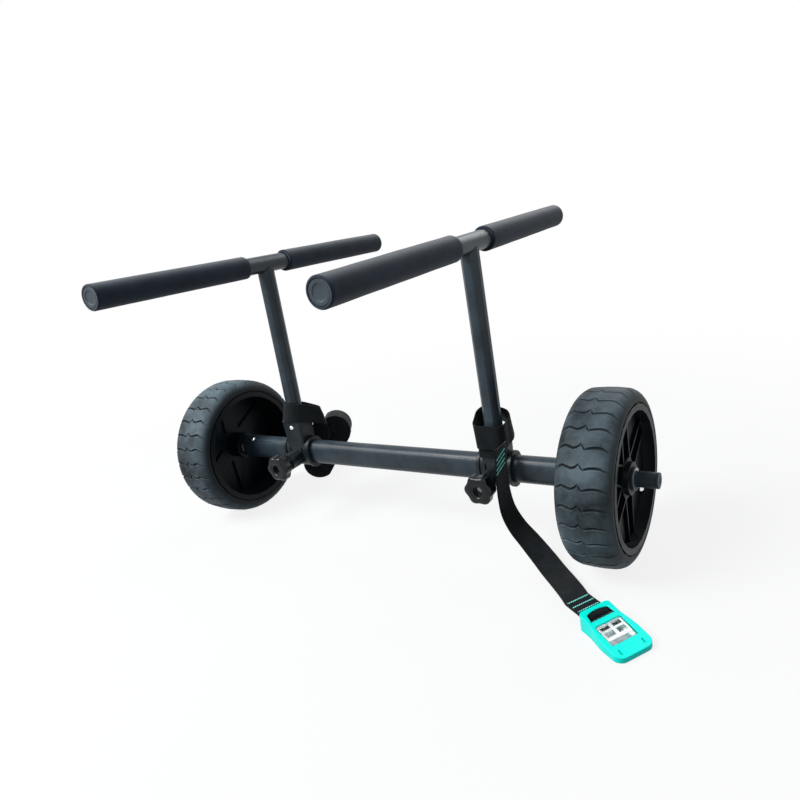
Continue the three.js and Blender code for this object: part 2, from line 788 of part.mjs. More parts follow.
// Star knob: its outline swells into lobes, with a ringed recess in its face
function knobGeometry() {
  const outline = (shrink) => {
    const shape = new THREE.Shape();
    const steps = knobLobes * roundSteps / 2;
    const middle = knobRadius - knobLobeDepth / 2 - shrink;
    const points = [];
    for (let i = 0; i < steps; i++) {
      const turn = i / steps * Math.PI * 2;
      const radius = middle + knobLobeDepth / 2 * Math.cos(turn * knobLobes);
      points.push([radius * Math.cos(turn), radius * Math.sin(turn)]);
    }
    return drawPath(shape, points);
  };
  const body = new THREE.ExtrudeGeometry(outline(knobRound), {
    depth: knobThickness - knobRound * 2,
    bevelThickness: knobRound,
    bevelSize: knobRound,
    bevelSegments: 1
  });
  const upright = closed(body).translate(0, 0, knobRound).rotateX(Math.PI / 2);
  const neck = turnedY(rodProfile(knobNeckRadius, -knobRound, knobNeckLength));
  const ring = knobRecessRadius + knobRingWidth;
  const recess = turnedY([
    [0, -knobThickness - cutOverrun], [ring, -knobThickness - cutOverrun],
    [ring, -knobThickness + knobRingWidth / 2],
    [knobRecessRadius, -knobThickness + knobRingWidth / 2],
    [knobRecessRadius, -knobThickness + knobRecessDepth], [0, -knobThickness + knobRecessDepth]
  ]);
  const stemDepth = knobThickness - knobRecessDepth - knobRingWidth;
  const stemRadius = (screwRadius + fitGap) / Math.cos(Math.PI / smallSegments);
  const stem = turnedY(
    rodProfile(stemRadius, -stemDepth, knobNeckLength + cutOverrun), smallSegments);
  return cut(joined(upright, neck), recess, stem);
}

// Clamp, T-bar, button, screw and knob on one side
function buildClamp(side) {
  const prefix = side > 0 ? 'right' : 'left';
  const postX = side > 0 ? rightPostX : leftPostX;
  const lean = side > 0 ? 0 : leftLean;
  const clamp = new THREE.Group();
  clamp.position.set(postX, 0, axleHeight);
  cart.add(clamp);
  addPiece(clamp, `${prefix}_clamp_body`, clampGeometry(), looks.moulding);

  const knobBack = -bossFace - fitGap - knobNeckLength - screwOut;
  const stemDepth = knobThickness - knobRecessDepth - knobRingWidth;
  const stud = turnedY(rodProfile(screwRadius,
    knobBack - stemDepth + fitGap, -tubeRound - screwTipGap - screwOut), smallSegments);
  addPiece(clamp, `${prefix}_clamp_screw`, stud.translate(0, 0, -bossDrop), looks.zinc);
  const knob = knobGeometry().translate(0, knobBack, -bossDrop);
  addPiece(clamp, `${prefix}_knob`, knob, looks.moulding);

  const tBar = new THREE.Group();
  tBar.position.set(0, 0, socketPivot - axleHeight);
  tBar.rotation.x = -lean;
  clamp.add(tBar);
  const rise = barHeight - socketPivot;
  const foot = socketFloor + fitGap + barRadius * Math.sin(lean) - socketPivot;
  const pipe = turnedZ(pipeProfile(barRadius, barRadius - postWall, foot, rise));
  const cope = turnedY(rodProfile(barRadius + fitGap, -barRadius * 2, barRadius * 2))
    .translate(0, 0, rise);
  const buttonZ = barButtonHeight - socketPivot;
  const hole = turnedY(rodProfile(buttonRadius + fitGap, -barRadius - cutOverrun, 0), smallSegments)
    .translate(0, 0, buttonZ);
  addPiece(tBar, `${prefix}_post`, cut(pipe, cope, hole), looks.paint);

  const plugFaceY = barHalfLength - barPlugHead;
  const tube = turnedY(pipeProfile(
    barRadius, barRadius - barWall, fitGap - plugFaceY, plugFaceY - fitGap));
  addPiece(tBar, `${prefix}_bar`, tube.translate(0, 0, rise), looks.paint);
  const foamBore = barRadius + fitGap;
  const soft = foamRadius - foamEndRound;
  const sleeve = [
    [foamBore, foamInnerEnd], [foamRadius, foamInnerEnd],
    [foamRadius, barHalfLength - foamEndRound], [soft, barHalfLength], [foamBore, barHalfLength]
  ];
  const plugRadius = barRadius - barWall - fitGap;
  const ringInner = barPlugRingRadius - barPlugRingDepth;
  const plug = [
    [0, plugFaceY - barPlugInsert], [plugRadius, plugFaceY - barPlugInsert],
    [plugRadius, plugFaceY], [barRadius, plugFaceY], [barRadius, barHalfLength],
    [barPlugRingRadius, barHalfLength], [ringInner, barHalfLength - barPlugRingDepth],
    [0, barHalfLength - barPlugRingDepth]
  ];
  for (const [end, turn] of [['front', -1], ['back', 1]]) {
    const foam = closed(turnedY(sleeve).scale(1, turn, 1)).translate(0, 0, rise);
    addPiece(tBar, `${prefix}_${end}_foam`, foam, looks.foam);
    const head = closed(turnedY(plug).scale(1, turn, 1)).translate(0, 0, rise);
    addPiece(tBar, `${prefix}_${end}_plug`, head, looks.plug);
  }

  const postBore = barRadius - postWall;
  const root = buttonRoot(postBore);
  const button = turnedY(buttonProfile(blockDepth / 2 + barButtonProud, root), smallSegments)
    .rotateZ(Math.PI)
    .translate(0, 0, buttonZ);
  addPiece(tBar, `${prefix}_bar_button`, button, looks.steel);
  const farSide = Math.sqrt(postBore ** 2 - (leafWidth / 2) ** 2) - fitGap;
  const leaf = leafGeometry(fitGap - root, farSide, leafLength)
    .applyMatrix4(new THREE.Matrix4().makeBasis(
      new THREE.Vector3(0, 1, 0), new THREE.Vector3(0, 0, 1), new THREE.Vector3(1, 0, 0)))
    .translate(0, 0, buttonZ);
  addPiece(tBar, `${prefix}_bar_spring`, leaf, looks.zinc);
}

// A smooth step from 0 to 1 as the value goes from 0 to 1
function eased(value) {
  const held = THREE.MathUtils.clamp(value, 0, 1);
  return held * held * (3 - 2 * held);
}

// The right strap's loop: upright across the block's front, high and leaning behind the post
function buildRightLoop() {
  const count = rightLoopRoute.length;
  const line = new THREE.CatmullRomCurve3(
    rightLoopRoute.map(([x, y, z]) => new THREE.Vector3(x, y, z)), true);
  const middles = [];
  const widths = [];
  for (let i = 0; i < rightLoopRings; i++) {
    const share = i / rightLoopRings;
    middles.push(line.getPoint(share));
    const spot = share * count;
    const from = Math.floor(spot);
    const lean = new THREE.Vector2(...rightLoopLeanShares[from])
      .lerp(new THREE.Vector2(...rightLoopLeanShares[(from + 1) % count]), spot - from);
    widths.push(new THREE.Vector3(lean.x, lean.y, Math.sqrt(1 - lean.lengthSq())));
  }
  const rings = ringsAlong(middles, widths, true);
  const loop = ribbon(rings, webbingWidth, webbingThickness, true).translate(rightPostX, 0, 0);
  addPiece(cart, 'right_strap_loop', loop, looks.webbing);
}

function buildRightStrap() {
  const steps = rightStrapRoute.length * 2;
  const line = new THREE.CatmullRomCurve3(
    rightStrapRoute.map(([x, y, z]) => new THREE.Vector3(x, y, z)));
  const turns = rightStrapRoute.map((point) => point[3]);
  const middles = [];
  const widths = [];
  for (let i = 0; i <= steps; i++) {
    const share = i / steps;
    middles.push(line.getPoint(share));
    const spot = share * (turns.length - 1);
    const from = Math.min(Math.floor(spot), turns.length - 2);
    const turn = THREE.MathUtils.degToRad(
      THREE.MathUtils.lerp(turns[from], turns[from + 1], spot - from));
    widths.push(new THREE.Vector3(Math.sin(turn), Math.cos(turn), 0));
  }
  const rings = ringsAlong(middles, widths);
  addPiece(cart, 'right_strap', ribbon(rings, webbingWidth, webbingThickness), looks.webbing);
}

// The left strap's loop: round the post, drawn to a point toward the roll
function buildLeftLoop() {
  const round = barRadius + leftLoopGap + webbingThickness / 2;
  const turn = Math.acos((round - leftLoopApexRadius) / leftLoopApex);
  const outline = new THREE.Path();
  outline.absarc(0, 0, round, turn, Math.PI * 2 - turn);
  outline.absarc(leftLoopApex, 0, leftLoopApexRadius, -turn, turn);
  outline.closePath();
  const heading = new THREE.Vector2(Math.cos(leftLoopHeading), Math.sin(leftLoopHeading));
  const reach = leftLoopReach;
  const middles = [];
  for (const spot of outline.getSpacedPoints(leftLoopSteps).slice(0, -1)) {
    const dip = leftLoopDip * eased((spot.x - leftLoopDipStart) / (reach - leftLoopDipStart));
    middles.push(new THREE.Vector3(
      spot.x * heading.x - spot.y * heading.y,
      spot.x * heading.y + spot.y * heading.x,
      leftLoopHeight - dip));
  }
  const widths = middles.map(() => new THREE.Vector3(0, 0, 1));
  const rings = ringsAlong(middles, widths, true);
  const loop = ribbon(rings, webbingWidth, webbingThickness, true).translate(leftPostX, leftLoopShift, 0);
  addPiece(cart, 'left_strap_loop', loop, looks.webbing);
}

// The rolled webbing: flat turns round two lobes, growing outward at a steady rate
function buildLeftRoll() {
  const middles = [];
  const steps = rollTurns * rollSteps;
  for (let i = 0; i <= steps; i++) {
    const turn = i / rollSteps * Math.PI * 2;
    const radius = rollInnerRadius + rollPitch * i / rollSteps;
    const isUpper = (i % rollSteps) < rollSteps / 2;
    const lobe = isUpper ? rollHalfRun : -rollHalfRun;
    middles.push(new THREE.Vector3(radius * Math.cos(turn), 0, radius * Math.sin(turn) + lobe));
  }
  const widths = middles.map(() => new THREE.Vector3(0, 1, 0));
  const rings = ringsAlong(middles, widths);
  console.log('roll: least gap between turns', leastGap(middles).toFixed(2), 'mm');
  const roll = ribbon(rings, webbingWidth, rollThickness)
    .rotateY(rollLean)
    .translate(rollCentreX, rollCentreY, rollCentreZ);
  addPiece(cart, 'left_strap_roll', roll, looks.webbing);
}

// Least distance between points a turn apart or more, less the webbing's own thickness
function leastGap(middles) {
  let least = Infinity;
  const nearer = new THREE.Line3();
  const nearest = new THREE.Vector3();
  for (let i = 0; i < middles.length; i++) {
    for (let j = i + rollSteps / 2; j < middles.length - 1; j++) {
      nearer.set(middles[j], middles[j + 1]);
      nearer.closestPointToPoint(middles[i], true, nearest);
      least = Math.min(least, nearest.distanceTo(middles[i]));
    }
  }
  return least - rollThickness;
}

// An elastic band round the roll's waist
function buildRollBand() {
  const rollRadius = rollInnerRadius + rollPitch * rollTurns + rollThickness / 2;
  const half = rollRadius + bandGap + bandThickness / 2;
  const halfDepth = webbingWidth / 2 + bandGap + bandThickness / 2;
  const outline = roundedBox(new THREE.Path(), -half, half, -halfDepth, halfDepth, bandCorner);
  outline.closePath();
  const middles = tracedPoints(outline, buckleLength)
    .map((spot) => new THREE.Vector3(spot.x, spot.y, 0));
  const widths = middles.map(() => new THREE.Vector3(0, 0, 1));
  const band = ribbon(ringsAlong(middles, widths, true), bandWidth, bandThickness, true)
    .rotateY(rollLean)
    .translate(rollCentreX, rollCentreY, rollCentreZ);
  addPiece(cart, 'left_strap_band', band, looks.webbing);
}

// Buckle: a wedge whose top falls from the strap end to the far end
const topSlope = (buckleStrapEndHeight - buckleFarEndHeight) / buckleLength;
const buckleTopAt = (x) => buckleStrapEndHeight - topSlope * x;

function wedge(from, to, inset, bottom, corners) {
  const strapHalf = buckleStrapEndWidth / 2 - inset;
  const farHalf = buckleFarEndWidth / 2 - inset;
  const bulge = Array.from({ length: bulgeSteps }, (_, i) => {
    const share = i / (bulgeSteps - 1);
    const along = THREE.MathUtils.lerp(bulgeStartShare, bulgeEndShare, share) * buckleLength;
    return [along, THREE.MathUtils.lerp(strapHalf, farHalf, eased(share))];
  }).filter(([along]) => along < to - corners.far);
  const plan = new THREE.Shape();
  const quarter = Math.PI / 2;
  plan.moveTo(from, corners.near - strapHalf);
  plan.absarc(from + corners.near, corners.near - strapHalf, corners.near, Math.PI, Math.PI + quarter);
  bulge.forEach(([along, half]) => plan.lineTo(along, -half));
  plan.absarc(to - corners.far, corners.far - farHalf, corners.far, -quarter, 0);
  plan.absarc(to - corners.far, farHalf - corners.far, corners.far, 0, quarter);
  bulge.reverse().forEach(([along, half]) => plan.lineTo(along, half));
  plan.absarc(from + corners.near, strapHalf - corners.near, corners.near, quarter, Math.PI);
  const tall = drawnOut(plan, buckleStrapEndHeight * 2, roundSteps / 2).translate(0, 0, bottom);
  const side = new THREE.Shape();
  drawPath(side, [
    [from, bottom], [to, bottom], [to, buckleTopAt(to) - inset],
    [from + inset, buckleTopAt(from + inset) - inset], [from, buckleTopAt(from) - inset * 2]
  ]);
  const profile = drawnOut(side, buckleFarEndWidth * 2)
    .rotateX(Math.PI / 2)
    .translate(0, buckleFarEndWidth, 0);
  return common(tall, profile);
}

function buckleCoverGeometry() {
  const outer = wedge(0, buckleLength, 0, 0, { near: buckleNearCorner, far: buckleFarCorner });
  const hollow = wedge(buckleWall, buckleLength - buckleFarBlock, buckleWall, -cutOverrun,
    { near: buckleNearCorner - buckleWall, far: buckleWall });
  const mouth = new THREE.BoxGeometry(buckleWall * 4, buckleMouthWidth, buckleMouthHeight)
    .translate(0, 0, strapBarHeight);
  const tall = buckleStrapEndHeight * 2;
  const window = drawnOut(roundedBox(new THREE.Shape(), windowFrom, windowTo,
    -windowWidth / 2, windowWidth / 2, buckleTopRound), tall, roundSteps / 3);
  const front = drawnOut(roundedBox(new THREE.Shape(), frontWindowFrom, frontWindowTo,
    -frontWindowWidth / 2, frontWindowWidth / 2, buckleTopRound), tall, roundSteps / 3);
  const slotTop = buckleTopAt(sideSlotX);
  const slot = new THREE.BoxGeometry(sideSlotWidth, sideSlotLength, sideSlotDepth * 2);
  const slots = [-sideSlotOffset, sideSlotOffset].map((y) => (
    slot.clone().rotateY(Math.atan(topSlope)).translate(sideSlotX, y, slotTop)));
  return cut(outer, hollow, mouth, window, front, ...slots);
}

// Folded steel channel: a floor and two ears that follow the cover's slope
function buckleFrameGeometry() {
  const outerHalf = buckleStrapEndWidth / 2 - buckleWall - fitGap - fitGap;
  const frameEnd = frameStart + frameLength;
  const drop = buckleWall + fitGap + fitGap;
  const side = new THREE.Shape();
  drawPath(side, [
    [frameStart, frameFloor], [frameEnd, frameFloor], [frameEnd, frameFloor + frameThickness],
    [frameEnd - frameThickness * 3, buckleTopAt(frameEnd) - drop - frameThickness],
    [camPinX + camRadius, buckleTopAt(camPinX + camRadius) - drop],
    [frameStart + frameThickness, buckleTopAt(frameStart) - drop - frameThickness],
    [frameStart, strapBarHeight]
  ]);
  const whole = drawnOut(side, outerHalf * 2).rotateX(Math.PI / 2).translate(0, outerHalf, 0);
  const inside = new THREE.BoxGeometry(
    frameLength + cutOverrun * 2, (outerHalf - frameThickness) * 2, buckleStrapEndHeight)
    .translate(frameStart + frameLength / 2, 0,
      frameFloor + frameThickness + buckleStrapEndHeight / 2);
  const acrossHole = (x, z, radius) => (
    turnedY(rodProfile(radius + fitGap, -buckleFarEndWidth, buckleFarEndWidth), smallSegments)
      .translate(x, 0, z));
  return cut(whole, inside, acrossHole(camPinX, camPinHeight, camPinRadius),
    acrossHole(strapBarX, strapBarHeight, strapBarRadius));
}

const pinHalfLength = buckleStrapEndWidth / 2 - buckleWall - fitGap - fitGap;

// Cam lever: a toothed drum on the pin and a windowed plate that follows the cover's slope
function camLeverGeometry() {
  const drumShape = new THREE.Shape();
  const steps = camTeeth * 4;
  const points = [];
  for (let i = 0; i < steps; i++) {
    const turn = i / steps * Math.PI * 2;
    const isBelow = Math.sin(turn) < 0;
    const radius = camRadius - (isBelow && i % 2 ? camToothDepth : 0);
    points.push([radius * Math.cos(turn), radius * Math.sin(turn)]);
  }
  drawPath(drumShape, points);
  const half = leverWidth / 2;
  const drum = drawnOut(drumShape, leverWidth).rotateX(Math.PI / 2).translate(0, half, 0);
  const top = camRadius - leverThickness;
  const plate = new THREE.BoxGeometry(leverReach, leverWidth, leverThickness)
    .translate(leverReach / 2, 0, 0)
    .rotateY(Math.atan(topSlope))
    .translate(0, 0, top + leverThickness / 2);
  const openFrom = camRadius + leverBridge;
  const openTo = leverReach - leverBridge * 2;
  const gap = (openTo - openFrom - leverBridge) / 2;
  const holes = [openFrom + gap / 2, openTo - gap / 2].flatMap((x) => [-1, 1].map((side) => (
    new THREE.BoxGeometry(gap, half - leverBridge * 2, buckleStrapEndHeight)
      .translate(x, side * half / 2, 0))));
  const notchFrom = -camRadius - cutOverrun;
  const notchTo = springCoilRadius + springWireRadius + fitGap;
  const notch = new THREE.BoxGeometry(notchTo - notchFrom, springNotchWidth, camRadius * 2)
    .translate((notchTo + notchFrom) / 2, 0, top - camRadius);
  const bore = turnedY(rodProfile(camPinRadius + fitGap, -leverWidth, leverWidth), smallSegments);
  return cut(joined(drum, plate), bore, notch, ...holes);
}

// The return spring: coils round the pin in the lever's notch, and a leg toward the strap
function camSpringGeometry() {
  const steps = springTurns * roundSteps;
  const climb = (springWireRadius * 2 + springCoilGap) / roundSteps;
  const start = -climb * steps / 2;
  const points = [new THREE.Vector3(-springLeg, start, -springCoilRadius)];
  for (let i = 0; i <= steps; i++) {
    const turn = -Math.PI / 2 + i / roundSteps * Math.PI * 2;
    points.push(new THREE.Vector3(
      springCoilRadius * Math.cos(turn), start + climb * i, springCoilRadius * Math.sin(turn)));
  }
  const wire = new THREE.Shape().absarc(0, 0, springWireRadius, 0, Math.PI * 2);
  return closed(new THREE.ExtrudeGeometry(wire, {
    steps: points.length,
    curveSegments: arcSteps,
    extrudePath: new THREE.CatmullRomCurve3(points)
  }));
}

function buildBuckle() {
  const buckle = new THREE.Group();
  buckle.position.set(buckleX, buckleY, 0);
  buckle.rotation.z = buckleHeading;
  cart.add(buckle);
  addPiece(buckle, 'buckle_cover', buckleCoverGeometry(), looks.turquoise);
  addPiece(buckle, 'buckle_frame', buckleFrameGeometry(), looks.steel);
  const pin = (radius) => turnedY(
    rodProfile(radius, -pinHalfLength, pinHalfLength), smallSegments);
  const camPin = pin(camPinRadius).translate(camPinX, 0, camPinHeight);
  addPiece(buckle, 'buckle_cam_pin', camPin, looks.steel);
  const strapBar = pin(strapBarRadius).translate(strapBarX, 0, strapBarHeight);
  addPiece(buckle, 'buckle_strap_bar', strapBar, looks.steel);
  const lever = camLeverGeometry().translate(camPinX, 0, camPinHeight);
  addPiece(buckle, 'buckle_cam_lever', lever, looks.steel);
  const spring = camSpringGeometry().translate(camPinX, 0, camPinHeight);
  addPiece(buckle, 'buckle_cam_spring', spring, looks.steel);
  addPiece(buckle, 'right_strap_eye', strapEyeGeometry(), looks.webbing);
}

// The strap's sewn end: webbing doubled back on itself round the buckle's bar
function strapEyeGeometry() {
  const inner = strapBarRadius + fitGap;
  const outer = inner + webbingThickness;
  const shape = new THREE.Shape();
  const turn = Math.PI * 3 / 4;
  shape.absarc(strapBarX, strapBarHeight, outer, -turn, turn);
  shape.lineTo(strapBarX - outer * 2, strapBarHeight + webbingThickness);
  shape.lineTo(-eyeLength, strapBarHeight + webbingThickness);
  shape.lineTo(-eyeLength, strapBarHeight - webbingThickness);
  shape.lineTo(strapBarX - outer * 2, strapBarHeight - webbingThickness);
  const hole = new THREE.Path().absarc(strapBarX, strapBarHeight, inner, 0, Math.PI * 2);
  shape.holes.push(hole);
  const width = webbingWidth - fitGap * 2;
  return drawnOut(shape, width).rotateX(Math.PI / 2).translate(0, width / 2, 0);
}

buildCrossTube();
for (const side of [-1, 1]) {
  buildAxleEnd(side);
  buildWheel(side);
  buildClamp(side);
}
buildRightLoop();
buildRightStrap();
buildLeftLoop();
buildLeftRoll();
buildRollBand();
buildBuckle();

export default cart;
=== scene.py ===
# %% [markdown]
# # A kayak cart, from its frame to its finish
# The cart is a cross tube on two moulded wheels. Two clamps slide on the tube, and each holds a
# T-bar with foam sleeves, on which the hull lies. Webbing hangs from the clamps and ends in a cam
# buckle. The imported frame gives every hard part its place. This lesson gives each one its finish,
# and makes the tyres, foam, webbing, knobs and buckle cover afresh, because those need more
# detail than solids hold.

# %% Load the frame
import bmesh
import bpy
import json
import math
import numpy as np
from mathutils import Matrix, Vector

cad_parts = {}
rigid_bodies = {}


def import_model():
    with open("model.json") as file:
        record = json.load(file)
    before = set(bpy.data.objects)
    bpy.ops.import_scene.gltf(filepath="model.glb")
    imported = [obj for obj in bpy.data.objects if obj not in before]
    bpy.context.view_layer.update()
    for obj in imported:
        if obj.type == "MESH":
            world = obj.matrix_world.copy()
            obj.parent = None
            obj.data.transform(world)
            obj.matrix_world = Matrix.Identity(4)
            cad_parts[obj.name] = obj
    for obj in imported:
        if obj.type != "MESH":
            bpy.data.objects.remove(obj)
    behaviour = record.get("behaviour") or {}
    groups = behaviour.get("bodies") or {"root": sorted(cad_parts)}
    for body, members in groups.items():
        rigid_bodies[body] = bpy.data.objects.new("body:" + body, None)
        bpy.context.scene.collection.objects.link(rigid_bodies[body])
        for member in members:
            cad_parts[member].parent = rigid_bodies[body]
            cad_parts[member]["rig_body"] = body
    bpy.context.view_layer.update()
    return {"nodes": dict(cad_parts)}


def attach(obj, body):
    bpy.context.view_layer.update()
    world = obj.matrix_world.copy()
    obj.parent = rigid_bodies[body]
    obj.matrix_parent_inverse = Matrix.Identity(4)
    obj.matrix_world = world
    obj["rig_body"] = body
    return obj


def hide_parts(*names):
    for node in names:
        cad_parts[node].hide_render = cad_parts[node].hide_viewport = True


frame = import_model()
MM = 0.001

# %% [markdown]
# The camera is placed first, because everything later is compared through it. Its place was
# worked out from the wheels, bars and tube of the photograph: front right of the cart, a little
# above the bars. The shift moves the picture on the film, as a view camera's rising front does.


# %% The camera
def placed(name, data):
    """A new object for a mesh, a lamp or a camera, linked to the scene."""
    thing = bpy.data.objects.new(name, data)
    bpy.context.scene.collection.objects.link(thing)
    return thing


CAMERA_PLACE = (0.66236, -0.83684, 0.55082)
camera_data = bpy.data.cameras.new("camera")
camera_data.lens, camera_data.sensor_width = 30.437, 36
camera_data.sensor_fit = "HORIZONTAL"
camera_data.shift_x, camera_data.shift_y = -0.0672, 0.0226
camera = placed("camera", camera_data)
right, up, back = ((0.860667, 0.486688, -0.149624), (-0.041253, 0.359547, 0.932215),
                   (0.507495, -0.796154, 0.329527))
turn = Matrix((right, up, back)).transposed().to_4x4()
camera.matrix_world = Matrix.Translation(CAMERA_PLACE) @ turn
bpy.context.scene.camera = camera
print("camera:", round(Vector(CAMERA_PLACE).length, 2), "m from the cart's middle")

# %% [markdown]
# Every piece of webbing is the same thing: a flat band that follows a line, with a direction for
# its width at each point. A bevelled curve could make it, but a curve twists as it likes. So the
# band is a mesh, ring after ring, with rounded edges. Its UV map is in metres, along and across,
# so that one weave fits every strap at its real size.


# %% A band that follows a line
def smoothed(piece):
    piece.data.polygons.foreach_set("use_smooth", [True] * len(piece.data.polygons))


def new_piece(name, mesh, body):
    piece = placed(name, mesh)
    smoothed(piece)
    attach(piece, body)
    return piece


def band_outline(width, thickness, across=10, rounding=3):
    half, edge = width / 2 - thickness / 2, thickness / 2
    top = [(x, edge) for x in np.linspace(half, -half, across + 1)]
    left = [(-half - edge * math.sin(t), edge * math.cos(t))
            for t in np.linspace(0, math.pi, rounding + 2)[1:-1]]
    return np.array(top + left + [(-x, -y) for x, y in top] + [(-x, -y) for x, y in left])


def band_mesh(name, middles, widths, width, thickness, closed=False):
    middles, widths = np.array(middles, float), np.array(widths, float)
    count = len(middles)
    before = np.roll(middles, 1, 0) if closed else np.vstack([middles[:1], middles[:-1]])
    after = np.roll(middles, -1, 0) if closed else np.vstack([middles[1:], middles[-1:]])
    along = after - before
    through = np.cross(along, widths)
    through /= np.linalg.norm(through, axis=1, keepdims=True)
    widths /= np.linalg.norm(widths, axis=1, keepdims=True)
    ring = band_outline(width, thickness)
    sides = len(ring)
    spots = (middles[:, None] + widths[:, None] * ring[None, :, :1]
             + through[:, None] * ring[None, :, 1:])
    steps = np.linalg.norm(np.diff(np.vstack([middles, middles[:1]]), axis=0), axis=1)
    run = np.concatenate([[0], np.cumsum(steps)])
    faces, uvs = [], []
    for i in range(count if closed else count - 1):
        j = (i + 1) % count
        for k in range(sides):
            m = (k + 1) % sides
            faces.append((i * sides + k, j * sides + k, j * sides + m, i * sides + m))
            uvs += [(run[i], ring[k, 0]), (run[i + 1], ring[k, 0]),
                    (run[i + 1], ring[m, 0]), (run[i], ring[m, 0])]
    if not closed:
        last = (count - 1) * sides
        faces.append(tuple(range(sides)))
        uvs += [(0, x) for x, _ in ring]
        faces.append(tuple(last + k for k in reversed(range(sides))))
        uvs += [(run[count - 1], x) for x, _ in ring[::-1]]
    mesh = bpy.data.meshes.new(name)
    mesh.from_pydata(spots.reshape(-1, 3).tolist(), [], faces)
    layer = mesh.uv_layers.new(name="along_across")
    layer.data.foreach_set("uv", np.array(uvs, np.float32).ravel())
    check = bmesh.new()
    check.from_mesh(mesh)
    if check.calc_volume(signed=True) < 0:
        bmesh.ops.reverse_faces(check, faces=check.faces)
        check.to_mesh(mesh)
    check.free()
    return mesh


def band_piece(name, middles, widths, width, thickness, body, closed=False):
    mesh = band_mesh(name, middles, widths, width, thickness, closed)
    return new_piece(name, mesh, body)


def spline_points(points, steps):
    """Points on the smooth line that the frame's own strap follows."""
    points = np.array(points, float)
    padded = np.vstack([2 * points[0] - points[1], points, 2 * points[-1] - points[-2]])
    found = []
    for step in range(steps + 1):
        spot = step / steps * (len(points) - 1)
        i = min(int(spot), len(points) - 2)
        t = spot - i
        p = padded[i:i + 4]
        d = [max(np.linalg.norm(p[k + 1] - p[k]) ** 0.5, 1e-6) for k in range(3)]
        m1 = ((p[1] - p[0]) / d[0] - (p[2] - p[0]) / (d[0] + d[1]) + (p[2] - p[1]) / d[1]) * d[1]
        m2 = ((p[2] - p[1]) / d[1] - (p[3] - p[1]) / (d[1] + d[2]) + (p[3] - p[2]) / d[2]) * d[1]
        found.append(p[1] + m1 * t + (3 * (p[2] - p[1]) - 2 * m1 - m2) * t * t
                     + (2 * (p[1] - p[2]) + m1 + m2) * t ** 3)
    return np.array(found)


# %% [markdown]
# The right strap hangs from the clamp, curves down to the floor and ends in the buckle. It is
# limp webbing, 38 mm wide, and the whole of it shows in the photograph, so that is its length.
# The points follow the frame's own route, only a few millimetres straighter near the buckle. The
# fourth value is the angle by which the band's width has turned.

# %% The right strap
WEBBING_WIDTH, WEBBING_THICKNESS = 38 * MM, 1.6 * MM
PLY_THICKNESS, HALF_PLY = 1.5 * MM, 0.75
strap_route = np.array([
    [222.1, -33, 178, 0], [222.3, -36, 166, 0], [224, -43, 150, 0], [224, -45, 130, 0],
    [224.5, -46, 105, 2], [228, -46, 79, 6], [240, -47, 55, 13], [259, -51, 36, 24],
    [285, -65, 20, 36], [309, -85, 13.5, 41], [331, -105.5, 12.5, 41],
    [350.5, -126.5, 14.2, 36.5], [362.4, -140.6, 15.2, 33.5]])
STRAP_STEPS = 144
strap_line = spline_points(strap_route[:, :3] * MM, STRAP_STEPS)
strap_turns = np.radians(np.interp(
    np.linspace(0, len(strap_route) - 1, STRAP_STEPS + 1), range(len(strap_route)),
    strap_route[:, 3]))
strap_widths = np.stack([np.sin(strap_turns), np.cos(strap_turns), strap_turns * 0], 1)
right_strap = band_piece("right_strap_webbing", strap_line, strap_widths, WEBBING_WIDTH,
                         WEBBING_THICKNESS, "right_carrier")
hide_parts("right_strap")

# %% [markdown]
# Each strap starts as a loop round its post. The right one stands up like a hood, and the left
# one is pulled out to where the roll hangs. A loop is the same band on a closed line. A thick
# ring squeezed to shape would be quicker, but webbing folds: at each point the band's width may
# lean out of upright, in X and in Y, and those leans make the folds.


# %% The straps' loops round the clamps
def eased(value):
    held = min(max(value, 0.0), 1.0)
    return held * held * (3 - 2 * held)


def spaced(corners, step):
    """Points at even steps round a closed line."""
    corners = np.array(corners, float)
    ends = np.roll(corners, -1, 0)
    lengths = np.linalg.norm(ends - corners, axis=1)
    run = np.concatenate([[0], np.cumsum(lengths)])
    count = int(run[-1] / step)
    wanted = np.arange(count) / count * run[-1]
    shut = np.vstack([corners, corners[:1]])
    return np.stack([np.interp(wanted, run, shut[:, k]) for k in range(2)], 1)


def arc(x, y, radius, start, stop, steps=10):
    return [(x + radius * math.cos(t), y + radius * math.sin(t))
            for t in np.linspace(start, stop, steps)]


def rounded_box(left, right_side, bottom, top, corner):
    q = math.pi / 2
    return (arc(right_side - corner, bottom + corner, corner, -q, 0)
            + arc(right_side - corner, top - corner, corner, 0, q)
            + arc(left + corner, top - corner, corner, q, 2 * q)
            + arc(left + corner, bottom + corner, corner, 2 * q, 3 * q))


def ring_points(points, steps):
    """Points on the closed smooth line through the given ones."""
    count = len(points)
    laps = np.vstack([points, points, points])
    line = spline_points(laps, steps * 3 - 3)
    wanted = np.linspace(count, 2 * count, steps + 1)[:-1]
    spots = np.linspace(0, len(laps) - 1, len(line))
    return np.stack([np.interp(wanted, spots, line[:, k]) for k in range(3)], 1)


RIGHT_POST_X, LEFT_POST_X, LOOP_STEPS = 197.4, -204.2, 130


def loop_piece(name, route, leans, centre, width, body):
    """A closed band through the route, with a lean for each point, the first one twice."""
    middles = ring_points(np.array(route), LOOP_STEPS) + np.array(centre)
    spots = np.arange(LOOP_STEPS) / LOOP_STEPS * len(route)
    leans = np.stack([np.interp(spots, range(len(leans)), values) for values in zip(*leans)], 1)
    widths = np.column_stack([leans, np.sqrt(1 - (leans ** 2).sum(1))])
    return band_piece(name, middles * MM, widths, width, WEBBING_THICKNESS, body, True)


